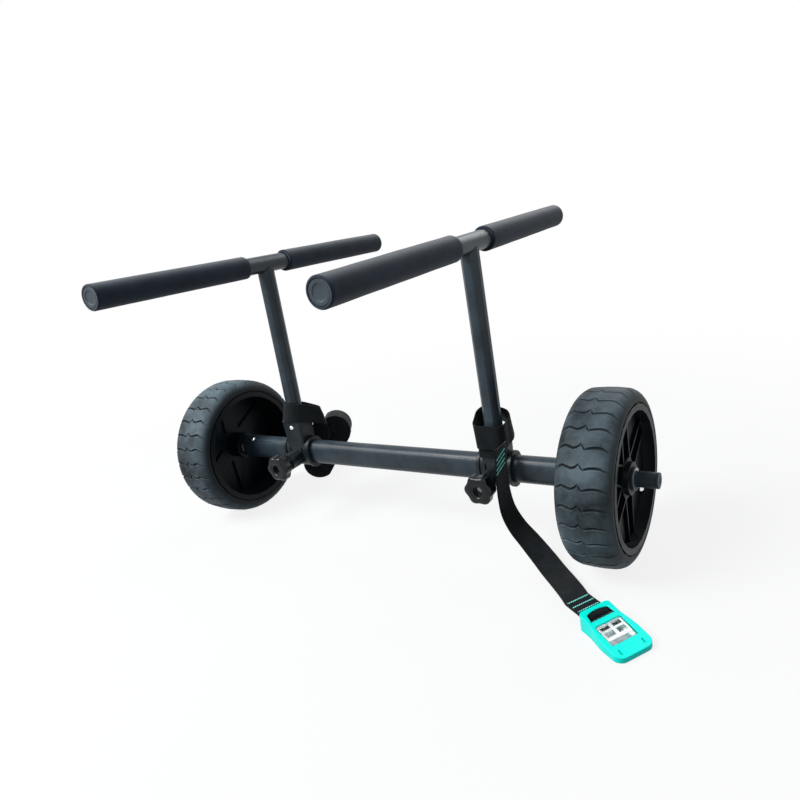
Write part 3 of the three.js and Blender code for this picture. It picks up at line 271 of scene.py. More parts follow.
right_loop = loop_piece("right_loop_webbing", [
    [-19.5, -21.8, 184], [0, -21.9, 184], [17, -21.8, 184], [22.8, -15, 184.5], [22.8, 0, 186],
    [22.9, 13.2, 189], [16.5, 23, 196], [3, 26, 203], [-9, 25.8, 205.5], [-20, 19.5, 204],
    [-26, 8, 198], [-25.4, -7, 190], [-24.2, -17.5, 185.5]], [
    (0, 0), (0, 0.02), (0, 0), (0, 0), (0, 0), (-0.02, -0.08), (-0.03, -0.24), (-0.03, -0.5),
    (0, -0.57), (0, -0.36), (-0.16, -0.1), (-0.16, 0), (-0.06, 0), (0, 0)],
    (RIGHT_POST_X, 0, 0), WEBBING_WIDTH, "right_carrier")
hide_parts("right_strap_loop")
PLY_WIDTH, PLY_FRONT, PLY_HEIGHT = 19 * MM, -19.6, 159.5
line = [(RIGHT_POST_X + x, PLY_FRONT, PLY_HEIGHT) for x in np.linspace(-20.4, 20.2, 24)]
right_ply = band_piece("right_loop_ply", np.array(line) * MM, [(0, 0, 1)] * len(line),
                       PLY_WIDTH, PLY_THICKNESS, "right_carrier")

LEFT_LEAN, SOCKET_PIVOT_Z = math.radians(2.2), 174.6
LOOP_HEIGHT, LEFT_LOOP_WIDTH = 206, 34 * MM
loop_shift = math.tan(LEFT_LEAN) * (LOOP_HEIGHT - SOCKET_PIVOT_Z)
left_loop = loop_piece("left_loop_webbing", [
    [-21, 0, 204.5], [-15, -14, 206], [0, -19, 206.5], [14, -16, 205], [26, -4, 201],
    [37, 12, 193.5], [42.5, 21, 187.5], [36, 28.5, 187.5], [18, 25.5, 193], [2, 20, 198.5],
    [-14, 13, 201.5]], [
    (0.28, 0), (0.2, 0.18), (0, 0.25), (-0.12, 0.2), (-0.22, 0.05), (-0.22, 0), (-0.17, -0.05),
    (-0.15, -0.1), (-0.08, -0.1), (0, -0.15), (0.2, -0.15), (0.28, 0)],
    (LEFT_POST_X, loop_shift, 0), LEFT_LOOP_WIDTH, "left_carrier")
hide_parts("left_strap_loop")
print("loops:", len(right_loop.data.polygons), "faces each")

# %% [markdown]
# The left strap's length is rolled up flat, as people do before they store a cart, and a band
# holds the roll. A flat roll is a spiral round two centres: each half turn goes round one of
# them, and the runs between are straight. Its turns stay a fixed pitch apart. A short run of
# the same webbing comes down from the loop and is tucked under the band.

# %% The rolled strap and its band
ROLL_TURNS, ROLL_STEPS, ROLL_PITCH, ROLL_CORE, ROLL_LOBE = 16, 48, 1.78, 0.36, 37
ARC_SHARE = 0.44
roll_centre = np.array([-197, 57, 116])
roll_lean = (Matrix.Rotation(math.radians(33), 3, "Z")
             @ Matrix.Rotation(math.radians(36), 3, "Y"))
depth_way, width_way, run_way = [np.array(roll_lean.col[k]) for k in (1, 0, 2)]


def on_roll(spot):
    """A place given in the roll's own directions, as the cart has it."""
    return np.array(roll_lean @ Vector(spot)) + roll_centre


middles = []
for i in range(ROLL_TURNS * ROLL_STEPS + 1):
    angle = i / ROLL_STEPS * 2 * math.pi
    radius = ROLL_CORE + ROLL_PITCH * i / ROLL_STEPS
    phase = (i % ROLL_STEPS) / ROLL_STEPS
    if phase % 0.5 > ARC_SHARE:
        continue
    lobe = ROLL_LOBE if phase < 0.5 else -ROLL_LOBE
    middles.append(on_roll((radius * math.cos(angle), 0, radius * math.sin(angle) + lobe)))
left_roll = band_piece("left_roll_webbing", np.array(middles) * MM, [depth_way] * len(middles),
                       WEBBING_WIDTH, PLY_THICKNESS, "left_carrier")
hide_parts("left_strap_roll")
steps = np.linalg.norm(np.diff(np.array(middles), axis=0), axis=1)
print("rolled strap:", round(float(steps.sum()) / 1000, 2), "m long")

DROP_STEPS, LOOP_SIDE = 60, np.array([0.94, 0.34, 0])
drop_line = spline_points([
    [-184, 21, 203], [-186, 28, 189], [-188, 32.5, 178], [-189.5, 36, 167], [-187, 39, 158],
    [-191.8, 35.9, 143.9], [-197.6, 32.4, 127.5]], DROP_STEPS)
shares = np.clip(np.linspace(0, 1.5, DROP_STEPS + 1), 0, 1)[:, None]
left_drop = band_piece("left_drop_webbing", drop_line * MM,
                       (1 - shares) * LOOP_SIDE + shares * width_way, LEFT_LOOP_WIDTH,
                       WEBBING_THICKNESS, "left_carrier")

BAND_WIDTH, BAND_THICKNESS, BAND_CORNER, BAND_GAP = 20 * MM, 1.6 * MM, 5, 1.9
BACK_DEPTH, FRONT_DEPTH = 20.2, 22.1
band_half = ROLL_CORE + ROLL_PITCH * ROLL_TURNS + HALF_PLY + BAND_GAP
middles = [on_roll((x, y, 0)) for x, y in spaced(
    rounded_box(-band_half, band_half, -FRONT_DEPTH, BACK_DEPTH, BAND_CORNER), 2)]
left_band = band_piece("left_band_elastic", np.array(middles) * MM, [run_way] * len(middles),
                       BAND_WIDTH, BAND_THICKNESS, "left_carrier", True)
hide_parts("left_strap_band")

# %% [markdown]
# At the buckle the webbing goes round a steel bar and is sewn back on itself. It is the same band
# again, on a line that runs out, round the bar and home.

# %% The sewn eye at the buckle
BUCKLE_PLACE = (Matrix.Translation((0.391, -0.1595, 0))
                @ Matrix.Rotation(math.radians(-33.5), 4, "Z"))
BAR_X, BAR_Z, BAR_RADIUS, EYE_LENGTH, EYE_SLACK = 7.4, 15.2, 2.2, 34, 0.3
PLY_LIFT, PLY_STOP, EYE_WIDTH = 0.82, 7, 37.4 * MM
reach = BAR_RADIUS + EYE_SLACK + HALF_PLY
meet = math.radians(166)
line = [(x, BAR_Z + PLY_LIFT) for x in np.linspace(-EYE_LENGTH, BAR_X - PLY_STOP, 20)]
line += arc(BAR_X, BAR_Z, reach, meet, -meet, 24)
line += [(x, BAR_Z - PLY_LIFT) for x in np.linspace(BAR_X - PLY_STOP, -EYE_LENGTH, 20)]
middles = [BUCKLE_PLACE @ Vector((x * MM, 0, z * MM)) for x, z in line]
across = BUCKLE_PLACE.to_3x3() @ Vector((0, 1, 0))
right_eye = band_piece("right_eye_webbing", middles, [across] * len(middles), EYE_WIDTH,
                       PLY_THICKNESS, "right_carrier")
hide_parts("right_strap_eye")
print("sewn eye:", len(line), "points round the bar")

# %% [markdown]
# The frame's solids are made of flat facets with hard edges. A moulded or painted part catches
# light on rounded edges instead. So each hard part is shown by a copy: its doubled points are
# merged, its coplanar triangles joined, its edges bevelled, and its round faces shaded smooth.


# %% Copies of the hard parts with rounded edges
SAME_POINT, NEARLY_FLAT = 2e-6, math.radians(0.8)


def finished(piece):
    """The piece with its modifiers gone and its mesh as they leave it."""
    depsgraph = bpy.context.evaluated_depsgraph_get()
    mesh = bpy.data.meshes.new_from_object(piece.evaluated_get(depsgraph))
    piece.modifiers.clear()
    piece.data = mesh
    return piece


def refined(node, bevel, angle):
    source = frame["nodes"][node]
    mesh = source.data.copy()
    mesh.materials.clear()
    work = bmesh.new()
    work.from_mesh(mesh)
    bmesh.ops.remove_doubles(work, verts=work.verts, dist=SAME_POINT)
    bmesh.ops.dissolve_limit(work, angle_limit=NEARLY_FLAT, verts=work.verts,
                             edges=work.edges)
    work.to_mesh(mesh)
    work.free()
    piece = placed(node + "_shown", mesh)
    smoothed(piece)
    mesh.set_sharp_from_angle(angle=math.radians(angle))
    if bevel:
        edge = piece.modifiers.new("edges", "BEVEL")
        edge.width, edge.segments = bevel * MM, 2
        edge.limit_method, edge.angle_limit = "ANGLE", math.radians(angle)
        edge.harden_normals = edge.use_clamp_overlap = True
        smoothed(finished(piece))
    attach(piece, source["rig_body"])
    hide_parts(node)
    return piece


shown = {}
for side in ("left_", "right_"):
    for node, slot, bevel, angle in (
            ("tube_plug", "moulding", 0.6, 35), ("stub_axle", "paint", 0.4, 35),
            ("rivet", "steel", 0.5, 45), ("axle_cap", "plug", 0.5, 35),
            ("inner_washer", "zinc", 0.3, 35), ("outer_washer", "zinc", 0.3, 35),
            ("axle_spring", "zinc", 0, 35), ("axle_button", "steel", 0.6, 45),
            ("rim", "rim", 0.7, 35), ("inner_bush", "nylon", 0.3, 35),
            ("outer_bush", "nylon", 0.3, 35), ("clamp_body", "moulding", 0.8, 35),
            ("clamp_screw", "zinc", 0, 45), ("post", "paint", 0.4, 35),
            ("bar", "paint", 0.4, 35), ("front_plug", "plug", 0.5, 35),
            ("back_plug", "plug", 0.5, 35), ("bar_button", "steel", 0.6, 45),
            ("bar_spring", "zinc", 0, 35)):
        shown[side + node] = refined(side + node, bevel, angle)
for node, slot, bevel, angle in (
        ("cross_tube", "paint", 0.4, 35), ("buckle_frame", "steel", 0.3, 35),
        ("buckle_cam_pin", "steel", 0.3, 45), ("buckle_strap_bar", "steel", 0.3, 45),
        ("buckle_cam_lever", "steel", 0.35, 35), ("buckle_cam_spring", "steel", 0, 70)):
    shown[node] = refined(node, bevel, angle)
print("copies:", len(shown))

# %% [markdown]
# A tyre's tread repeats. One pitch is a slice of the tyre, a thirtieth of a turn, and its groove
# wanders across the tread in a lazy wave. The rows of the slice follow that wave, close together
# at the groove and wide apart between grooves, so the groove is crisp with few faces. A Geometry
# Nodes tree then sets the slice round the hub. The same tree could set spokes or bolts.


# %% A tree that repeats a piece round the X axis
def new_group(tree_kind, name, takes, gives):
    """A group with its named inputs and outputs, and the nodes at its two ends."""
    tree = bpy.data.node_groups.new(name, tree_kind)
    for label, kind, value in takes:
        socket = tree.interface.new_socket(label, in_out="INPUT",
                                           socket_type="NodeSocket" + kind)
        if value is not None:
            socket.default_value = value
    for label, kind in gives:
        tree.interface.new_socket(label, in_out="OUTPUT", socket_type="NodeSocket" + kind)
    return tree, tree.nodes.new("NodeGroupInput"), tree.nodes.new("NodeGroupOutput")


def feed(tree, node, links):
    """Wires or plain values for a node's inputs."""
    for socket, source in links:
        target = node.inputs[socket]
        if isinstance(source, bpy.types.NodeSocket):
            tree.links.new(source, target)
        else:
            target.default_value = source
    return node


def add(tree, kind, links=(), **settings):
    node = tree.nodes.new(kind)
    for key, value in settings.items():
        setattr(node, key, value)
    return feed(tree, node, links)


def sums(tree, operation, *values):
    """What one Math node gives for its values."""
    return add(tree, "ShaderNodeMath", enumerate(values), operation=operation).outputs[0]


def made_real(tree, copies, material, end, merge=None):
    """The end of a tree: its copies as one real mesh, merged where asked, in a material."""
    mesh = add(tree, "GeometryNodeRealizeInstances", [(0, copies)])
    if merge:
        mesh = add(tree, "GeometryNodeMergeByDistance", [
            ("Geometry", mesh.outputs[0]), ("Distance", merge)])
    skin = add(tree, "GeometryNodeSetMaterial", [
        ("Geometry", mesh.outputs[0]), ("Material", material)])
    feed(tree, end, [(0, skin.outputs[0])])
    return tree


def repeat_round_tree():
    tree, start, end = new_group("GeometryNodeTree", "repeat_round", [
        ("Geometry", "Geometry", None), ("Count", "Int", 30),
        ("Join Distance", "Float", 0.00002), ("Material", "Material", None)],
        [("Geometry", "Geometry")])
    line = add(tree, "GeometryNodeMeshLine", [
        ("Count", start.outputs["Count"]), ("Offset", (0, 0, 0))])
    index = add(tree, "GeometryNodeInputIndex")
    share = sums(tree, "DIVIDE", index.outputs[0], start.outputs["Count"])
    angle = sums(tree, "MULTIPLY", share, 2 * math.pi)
    turned = add(tree, "ShaderNodeCombineXYZ", [("X", angle)])
    copies = add(tree, "GeometryNodeInstanceOnPoints", [
        ("Points", line.outputs[0]), ("Instance", start.outputs["Geometry"]),
        ("Rotation", turned.outputs[0])])
    return made_real(tree, copies.outputs[0], start.outputs["Material"], end,
                     start.outputs["Join Distance"])


def grown(piece, tree, **values):
    """The piece after a tree has run on it, as a plain mesh."""
    modifier = piece.modifiers.new("growth", "NODES")
    modifier.node_group = tree
    names = {item.name: item.identifier for item in tree.interface.items_tree
             if item.in_out == "INPUT"}
    for label, value in values.items():
        modifier[names[label.replace("_", " ")]] = value
    return finished(piece)


repeat_round = repeat_round_tree()
print("tree:", repeat_round.name, "with", len(repeat_round.nodes), "nodes")

# %% [markdown]
# The slice's profile is the real tyre's: a crown that is nearly flat, round shoulders, and a bead
# that sits in the rim. Each row moves along the wave, and rows inside the groove are sunk. The
# rubber by the groove stands up in a small lip. How pale a point is painted is stored with it:
# dust lies on the treads and not on the flanks, the grooves are kept dark as painted shade, and
# each lip is made paler as a painted highlight, more on one side of the groove than the other.

# %% One pitch of the tread, and the tyres
AXLE_Z, WHEEL_X = 126.732, 371.1
TYRE_RADIUS, SHOULDER, PITCHES = 126.73, 18.6, 30
GROOVE_HALF, GROOVE_DEPTH, BEAD_TOP = 1.95, 2.8, 108
wave = np.array([
    (-39, -.16), (-33, -.08), (-29, .03), (-24, .12), (-18, .05), (-12, -.03), (-7, .02),
    (-3.5, .15), (-1.5, .17), (1, .02), (3, -.09), (6, -.05), (12, .01), (19, .04), (26, .01),
    (31, -.08), (39, -.2)])
depth_share = np.array([
    (-39, 0), (-34, .35), (-28, .8), (-20, 1), (-6, 1), (-3.5, .7), (-2, .15), (-.5, .8),
    (1.5, .9), (3, .2), (5, .7), (9, 1), (24, 1), (31, .6), (36, .15), (39, 0)])


def tread_profile():
    crown = [(u, TYRE_RADIUS - max(0, u - 5) / 15.4) for u in np.linspace(0, 20.4, 13)]
    shoulder = [(20.4 + SHOULDER * math.sin(t), TYRE_RADIUS - 1 - SHOULDER * (1 - math.cos(t)))
                for t in np.linspace(0, math.pi / 2, 11)[1:]]
    side = [(38.9, 106.9), (38.2, 106.2), (37.4, 105.9), (35.8, 105.7), (35.7, 105.2),
            (35.7, 99.8)]
    half = crown + shoulder + side
    return [(-u, r) for u, r in half[:0:-1]] + half + [(18, 99.8), (0, 99.8), (-18, 99.8)]


def tread_rows():
    pitch = 2 * math.pi * TYRE_RADIUS / PITCHES
    near = [0, .5, 1, 1.5, GROOVE_HALF, 2.5, 3.1, 4, 6.3, 9.5]
    rows = sorted([-x for x in near[1:]] + near) + [pitch / 2]
    return [-pitch / 2] + rows, pitch


def tyre_slice(side):
    profile, (rows, pitch) = tread_profile(), tread_rows()
    spots, faces, tread_dust_and_painted_light = [], [], []
    for row in rows:
        for u, r in profile:
            shape = max(0.0, 1 - (abs(row) / GROOVE_HALF) ** 2) ** 0.7
            cut = float(np.interp(u, depth_share[:, 0], depth_share[:, 1])) * (r > BEAD_TOP)
            lip = (0.45 if row < 0 else 0.15) * math.exp(-((abs(row) - 2.7) / 0.5) ** 2) * cut
            shift = np.interp(u, wave[:, 0], wave[:, 1]) * pitch * (r > 104)
            angle = (row + shift) / TYRE_RADIUS
            radius = r - GROOVE_DEPTH * shape * cut + lip
            worn = min(max((r - 112) / 9, 0), 1)
            # Dust on the tread, none in the groove as painted shade, and the lip's height added as
            # a painted highlight.
            tread_dust_and_painted_light.append(worn * (1 - shape * cut) + lip * 1.2)
            spots.append((side * u * MM, radius * MM * math.sin(angle),
                          radius * MM * math.cos(angle)))
    sides = len(profile)
    for i in range(len(rows) - 1):
        for k in range(sides):
            m = (k + 1) % sides
            face = (i * sides + k, (i + 1) * sides + k, (i + 1) * sides + m, i * sides + m)
            faces.append(face if side > 0 else face[::-1])
    mesh = bpy.data.meshes.new("tyre_slice")
    mesh.from_pydata(spots, [], faces)
    layer = mesh.attributes.new("dust_and_painted_light", "FLOAT", "POINT")
    layer.data.foreach_set("value", tread_dust_and_painted_light)
    return mesh


def outward(mesh, doubles=0.0):
    """The mesh with its doubled points merged and every face pointing outwards."""
    work = bmesh.new()
    work.from_mesh(mesh)
    if doubles:
        bmesh.ops.remove_doubles(work, verts=work.verts, dist=doubles)
    bmesh.ops.recalc_face_normals(work, faces=work.faces)
    work.to_mesh(mesh)
    work.free()
    return mesh


rubber = bpy.data.materials.new("tyre_rubber")
tyres = {}
for side, name in ((-1, "left"), (1, "right")):
    tyre = placed(name + "_tyre_treaded", tyre_slice(side))
    grown(tyre, repeat_round, Count=PITCHES, Material=rubber)
    tyre.data.transform(Matrix.Translation((side * WHEEL_X * MM, 0, AXLE_Z * MM)))
    outward(tyre.data)
    smoothed(tyre)
    tyre.data.set_sharp_from_angle(angle=math.radians(50))
    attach(tyre, name + "_wheel")
    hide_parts(name + "_tyre")
    tyres[name] = tyre
    print(name, "tyre faces:", len(tyre.data.polygons))

# %% [markdown]
# Foam sleeves cushion the hull. Foam is cut from a long tube, so its ends are square but soft,
# and a sleeve pushed over a bar is never quite even. A turned shape with many rings takes a slow
# wave of a tenth or two of a millimetre; the fine skin is left to the material.


# %% Turned pieces and the foam sleeves
def closed_mesh(name, spots, faces, doubles=0.0):
    mesh = bpy.data.meshes.new(name)
    mesh.from_pydata([tuple(spot) for spot in spots], [], faces)
    return outward(mesh, doubles)


def round_faces(segments, count):
    """Faces between neighbouring rounds of points, shut both ways."""
    return [(i * count + k, i * count + (k + 1) % count,
             (i + 1) % segments * count + (k + 1) % count, (i + 1) % segments * count + k)
            for i in range(segments) for k in range(count)]


def turned_mesh(name, profile, segments, place, ripple, seed):
    """A closed profile of (radius, height) in millimetres, turned round its own Y axis."""
    phase = np.random.default_rng(seed).uniform(0, 2 * math.pi, 6)
    spots = []
    for i in range(segments):
        t = i / segments * 2 * math.pi
        for radius, height in profile:
            swell = ripple * (math.sin(height * 0.037 + phase[0]) * math.cos(2 * t + phase[1])
                              + 0.6 * math.sin(height * 0.09 + phase[2])
                              * math.cos(3 * t + phase[3])
                              + 0.5 * math.sin(height * 0.021 + t + phase[4]))
            full = radius + (swell if radius > FOAM_SKIN else 0)
            spots.append(place @ Vector((
                full * math.cos(t) * MM, height * MM, full * math.sin(t) * MM)))
    return closed_mesh(name, spots, round_faces(segments, len(profile)), 1e-7)


BAR_HEIGHT_Z, BAR_HALF, FOAM_START = 464.8, 318.5, 46
FOAM_RADIUS, FOAM_SKIN, FOAM_BORE = 18, 16, 14.3
pivot = Vector((LEFT_POST_X, 0, SOCKET_PIVOT_Z)) * MM
left_tilt = (Matrix.Translation(pivot) @ Matrix.Rotation(-LEFT_LEAN, 4, "X")
             @ Matrix.Translation((0, 0, (BAR_HEIGHT_Z - SOCKET_PIVOT_Z) * MM)))
bar_places = {"left": left_tilt,
              "right": Matrix.Translation((RIGHT_POST_X * MM, 0, BAR_HEIGHT_Z * MM))}
foams = []
for seed, (name, end) in enumerate((n, e) for n in ("left", "right") for e in (-1, 1)):
    outer = [(FOAM_RADIUS - 1.8, FOAM_START), (FOAM_RADIUS - 0.7, FOAM_START + 0.3),
             (FOAM_RADIUS, FOAM_START + 1.4)]
    outer += [(FOAM_RADIUS, h) for h in np.linspace(FOAM_START + 4, BAR_HALF - 4, 60)]
    outer += [(FOAM_RADIUS, BAR_HALF - 1.8), (FOAM_RADIUS - 0.5, BAR_HALF - 0.6),
              (FOAM_RADIUS - 1.7, BAR_HALF)]
    sleeve = [(r, h * end) for r, h in
              [(FOAM_BORE, FOAM_START)] + outer + [(FOAM_BORE, BAR_HALF)]]
    title = name + ("_front" if end < 0 else "_back")
    foam = new_piece(title + "_foam_sleeve", turned_mesh(
        title, sleeve, 48, bar_places[name], 0.12, seed), name + "_carrier")
    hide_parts(title + "_foam")
    foams.append(foam)
print("foam sleeves:", len(foams), "each", len(foams[0].data.polygons), "faces")

# %% [markdown]
# The star knobs are glossy mouldings with six soft lobes. Their outline is one circle whose
# radius swells and shrinks, and their section is a rounded slab with a ringed recess for the
# stud's nut. One grid of points, round by round, makes both, so every edge is as soft as a mould
# leaves it.

# %% The star knobs
KNOB_Z, KNOB_RADIUS, KNOB_SHOULDER, KNOB_BACK, KNOB_SEGMENTS = AXLE_Z - 5, 24, 12.5, -58.2, 96


def knob_mesh(name, x):
    """Rounds of points from the neck's back, over the lobes, to the bottom of the recess."""
    rounds = [(12.5, 6.4, 0), (12.5, 0.6, 0), (13.1, 0, 0)]
    rounds += [(KNOB_RADIUS - 4 * (1 - math.sin(t)), -4 * (1 - math.cos(t)), 1)
               for t in np.linspace(0, math.pi / 2, 7)]
    rounds += [(KNOB_RADIUS, h, 1) for h in (-7, -10, -KNOB_SHOULDER)]
    rounds += [(KNOB_RADIUS - 6 * (1 - math.cos(t)), -KNOB_SHOULDER - 6 * math.sin(t),
                1 - 0.25 * t)
               for t in np.linspace(0, math.pi / 2, 8)[1:]]
    rounds += [
        (13.5, -19, 0.3), (11.4, -19, 0), (10.6, -18.7, 0), (10.2, -17.9, 0), (9.4, -17.7, 0),
        (8.6, -17.9, 0), (7.7, -17.8, 0), (7.5, -17.2, 0), (7.5, -13.2, 0), (7.2, -13, 0),
        (5.6, -13, 0), (5.6, 6.4, 0)]
    spots = []
    for i in range(KNOB_SEGMENTS):
        t = i / KNOB_SEGMENTS * 2 * math.pi
        swell = 1.6 * math.cos(6 * t) - 1.6
        for radius, height, lobed in rounds:
            full = radius + swell * lobed
            spots.append(((x + full * math.cos(t)) * MM, (KNOB_BACK + height) * MM,
                          (KNOB_Z + full * math.sin(t)) * MM))
    return closed_mesh(name, spots, round_faces(KNOB_SEGMENTS, len(rounds)))


knobs = {}
for name, x in (("left", LEFT_POST_X), ("right", RIGHT_POST_X)):
    knob = new_piece(name + "_star_knob_lobed", knob_mesh(name + "_knob", x),
                     name + "_star_knob")
    knob.data.set_sharp_from_angle(angle=math.radians(50))
    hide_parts(name + "_knob")
    knobs[name] = knob
print("knobs:", len(knobs), "each", len(knob.data.polygons), "faces")

# %% [markdown]
# The buckle's cover is one soft, glossy moulding: a wedge with a bow-shaped window where the
# strap goes in, a square one over the lever and two small slots. Bevels would collide at the
# windows' corners. So it is carved from prisms with booleans, a voxel remesh turns the result
# into an even skin, and a few passes of smoothing round every edge alike, as polishing a mould
# does.


# %% The buckle's cover
COVER_LENGTH, NEAR_HALF, FAR_HALF, NEAR_TOP, FAR_TOP, COVER_WALL = 82, 23.5, 28, 24, 7, 2
COVER_SLOPE = (NEAR_TOP - FAR_TOP) / COVER_LENGTH


def cover_plan(start, end, inset, near_corner, far_corner):
    """The cover's outline from above: waisted at the strap, wider at the far end."""
    near, far = NEAR_HALF - inset, FAR_HALF - inset
    flank = [(start + (end - start) * (0.2 + 0.46 * t), near + (far - near) * eased(t))
             for t in np.linspace(0, 1, 8)]
    q = math.pi / 2
    one = (arc(start + near_corner, near - near_corner, near_corner, 2 * q, q)
           + flank + arc(end - far_corner, far - far_corner, far_corner, q, 0))
    return [(x, -y) for x, y in one] + one[::-1]


def prism(name, plan, bottom, top):
    """A closed block over a plan, whose top falls with the cover's slope."""
    count = len(plan)
    spots = [BUCKLE_PLACE @ Vector((x * MM, y * MM, bottom * MM)) for x, y in plan]
    spots += [BUCKLE_PLACE @ Vector((x * MM, y * MM, (top - COVER_SLOPE * x) * MM))
              for x, y in plan]
    faces = [tuple(reversed(range(count))), tuple(range(count, 2 * count))]
    faces += [(i, (i + 1) % count, (i + 1) % count + count, i + count) for i in range(count)]
    return placed(name, closed_mesh(name, spots, faces))


bow = ([(5 + 3.2 * (y / 16) ** 2, y) for y in np.linspace(-16, 16, 13)]
       + [(18, 18), (20.3, 19.3), (20.3, -19.3), (18, -18)])
cover = prism("buckle_cover_moulded", cover_plan(0, COVER_LENGTH, 0, 5, 12), 0, NEAR_TOP)
cutters = [
    prism("hollow", cover_plan(COVER_WALL, 64, COVER_WALL, 3, 3), -9, NEAR_TOP - COVER_WALL),
    prism("mouth", rounded_box(-9, 5, -20.5, 20.5, 0.5), 10.2, 20.4),
    prism("front_window", bow, 6, 60),
    prism("lever_window", rounded_box(28, 61, -20, 20, 3), -9, 60)]
cutters += [prism("slot", rounded_box(69, 76, y - 1.7, y + 1.7, 0.8), FAR_TOP - 3.2, 60)
            for y in (-17.5, 17.5)]
for cutter in cutters:
    carve = cover.modifiers.new("carve", "BOOLEAN")
    carve.operation, carve.solver, carve.object = "DIFFERENCE", "EXACT", cutter
    finished(cover)
for cutter in cutters:
    bpy.data.objects.remove(cutter)
skin = cover.modifiers.new("skin", "REMESH")
skin.mode, skin.voxel_size = "VOXEL", 0.42 * MM
soften = cover.modifiers.new("soften", "SMOOTH")
soften.factor, soften.iterations = 0.5, 8
smoothed(finished(cover))
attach(cover, "right_carrier")
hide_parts("buckle_cover")
print("cover faces:", len(cover.data.polygons))

# %% [markdown]
# Turquoise thread locks the webbing with short rows of stitches, three by the buckle and four
# where the strap leaves the clamp. Each row is an edge in a mesh; the tree sets a small round
# stitch at even steps along it, alternately slanted, as a zigzag machine does.


# %% A tree that sews along edges
def stitch_tree():
    tree, start, end = new_group("GeometryNodeTree", "stitch_rows", [
        ("Geometry", "Geometry", None), ("Spacing", "Float", 0.0015),
        ("Length", "Float", 0.0034), ("Thickness", "Float", 0.0015), ("Slant", "Float", 0.75),
        ("Material", "Material", None)], [("Geometry", "Geometry")])
    curve = add(tree, "GeometryNodeMeshToCurve", [(0, start.outputs["Geometry"])])
    points = add(tree, "GeometryNodeCurveToPoints", [
        ("Curve", curve.outputs[0]), ("Length", start.outputs["Spacing"])], mode="LENGTH")
    index = add(tree, "GeometryNodeInputIndex")
    parity = sums(tree, "MODULO", index.outputs[0], 2.0)
    sign = sums(tree, "MULTIPLY_ADD", parity, 2.0, -1.0)
    slant = sums(tree, "MULTIPLY", sign, start.outputs["Slant"])
    own = add(tree, "ShaderNodeCombineXYZ", [("X", slant)])
    laid = add(tree, "FunctionNodeRotateRotation", [
        ("Rotation", points.outputs["Rotation"]), ("Rotate By", own.outputs[0])],
        rotation_space="LOCAL")
    ball = add(tree, "GeometryNodeMeshUVSphere", [
        ("Segments", 8), ("Rings", 6), ("Radius", 0.5)])
    size = add(tree, "ShaderNodeCombineXYZ", [
        ("X", start.outputs["Thickness"]), ("Y", start.outputs["Thickness"]),
        ("Z", start.outputs["Length"])])
    sewn = add(tree, "GeometryNodeInstanceOnPoints", [
        ("Points", points.outputs[0]), ("Instance", ball.outputs[0]),
        ("Rotation", laid.outputs[0]), ("Scale", size.outputs[0])])
    return made_real(tree, sewn.outputs[0], start.outputs["Material"], end)


thread = bpy.data.materials.new("turquoise_thread")
stitch_rows = stitch_tree()
rows = []
lift = BAR_Z + PLY_LIFT + HALF_PLY + 0.1
for x in (-31.5, -20.5, -9.5):
    rows.append([BUCKLE_PLACE @ Vector((x * MM, y * MM, lift * MM)) for y in (-15.5, 15.5)])
for height in (167.5, 161, 154.5, 148):
    near = int(np.argmin(abs(strap_line[:40, 2] - height * MM)))
    middle, across = Vector(strap_line[near]), Vector(strap_widths[near])
    rows.append([middle + Vector((1, 0, y / 4)) * MM + across * y * MM for y in (-17, 11)])
seam = bpy.data.meshes.new("stitch_rows")
seam.from_pydata([tuple(p) for row in rows for p in row],
                 [(2 * i, 2 * i + 1) for i in range(len(rows))], [])
stitches = placed("bar_tack_stitches", seam)
grown(stitches, stitch_rows, Material=thread)
smoothed(stitches)
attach(stitches, "right_carrier")
print("stitch rows:", len(rows), "with", len(stitches.data.polygons), "faces")

buckle_steel = [shown["buckle_" + part] for part in (
    "frame", "cam_pin", "strap_bar", "cam_lever", "cam_spring")]

# %% [markdown]
# The finishes share three effects, so each is a shader group with named inputs, built once.
# Grain gives a surface its fine skin, and breaks up its gloss. Dusting lays a patchy film of a
# second colour. Weave draws webbing's ribs from the UV map, in metres.


# %% Shader groups for grain, dusting and weave
def noise(tree, scale, detail, roughness=0.5):
    """Cloudy noise that is fixed to the piece."""
    place = add(tree, "ShaderNodeTexCoord")
    return add(tree, "ShaderNodeTexNoise", [
        ("Vector", place.outputs["Object"]), ("Scale", scale), ("Detail", detail),
        ("Roughness", roughness)]).outputs["Fac"]


def grain_group():
    tree, start, end = new_group("ShaderNodeTree", "grain", [
        ("Scale", "Float", 900.0), ("Patch Scale", "Float", 30.0), ("Roughness", "Float", 0.5),
        ("Spread", "Float", 0.15)], [("Height", "Float"), ("Roughness", "Float")])
    patch = noise(tree, start.outputs["Patch Scale"], 5.0, 0.6)
    rough = sums(tree, "MULTIPLY_ADD", sums(tree, "SUBTRACT", patch, 0.5),
                 start.outputs["Spread"], start.outputs["Roughness"])
    feed(tree, end, [("Height", noise(tree, start.outputs["Scale"], 3.0)),
                     ("Roughness", rough)])
    return tree


def dusting_group():
    tree, start, end = new_group("ShaderNodeTree", "dusting", [
        ("Colour", "Color", (0.02, 0.02, 0.02, 1)), ("Dust", "Color", (0.2, 0.22, 0.23, 1)),
        ("Amount", "Float", 0.3), ("Scale", "Float", 14.0)],
        [("Colour", "Color"), ("Mask", "Float")])
    cloud = noise(tree, start.outputs["Scale"], 8.0, 0.65)
    spread = add(tree, "ShaderNodeMapRange", [
        ("Value", cloud), ("From Min", 0.38), ("From Max", 0.72)])
    mask = sums(tree, "MULTIPLY", spread.outputs[0], start.outputs["Amount"])
    mixed = add(tree, "ShaderNodeMix", [
        (0, mask), (6, start.outputs["Colour"]), (7, start.outputs["Dust"])], data_type="RGBA")
    feed(tree, end, [("Colour", mixed.outputs[2]), ("Mask", mask)])
    return tree


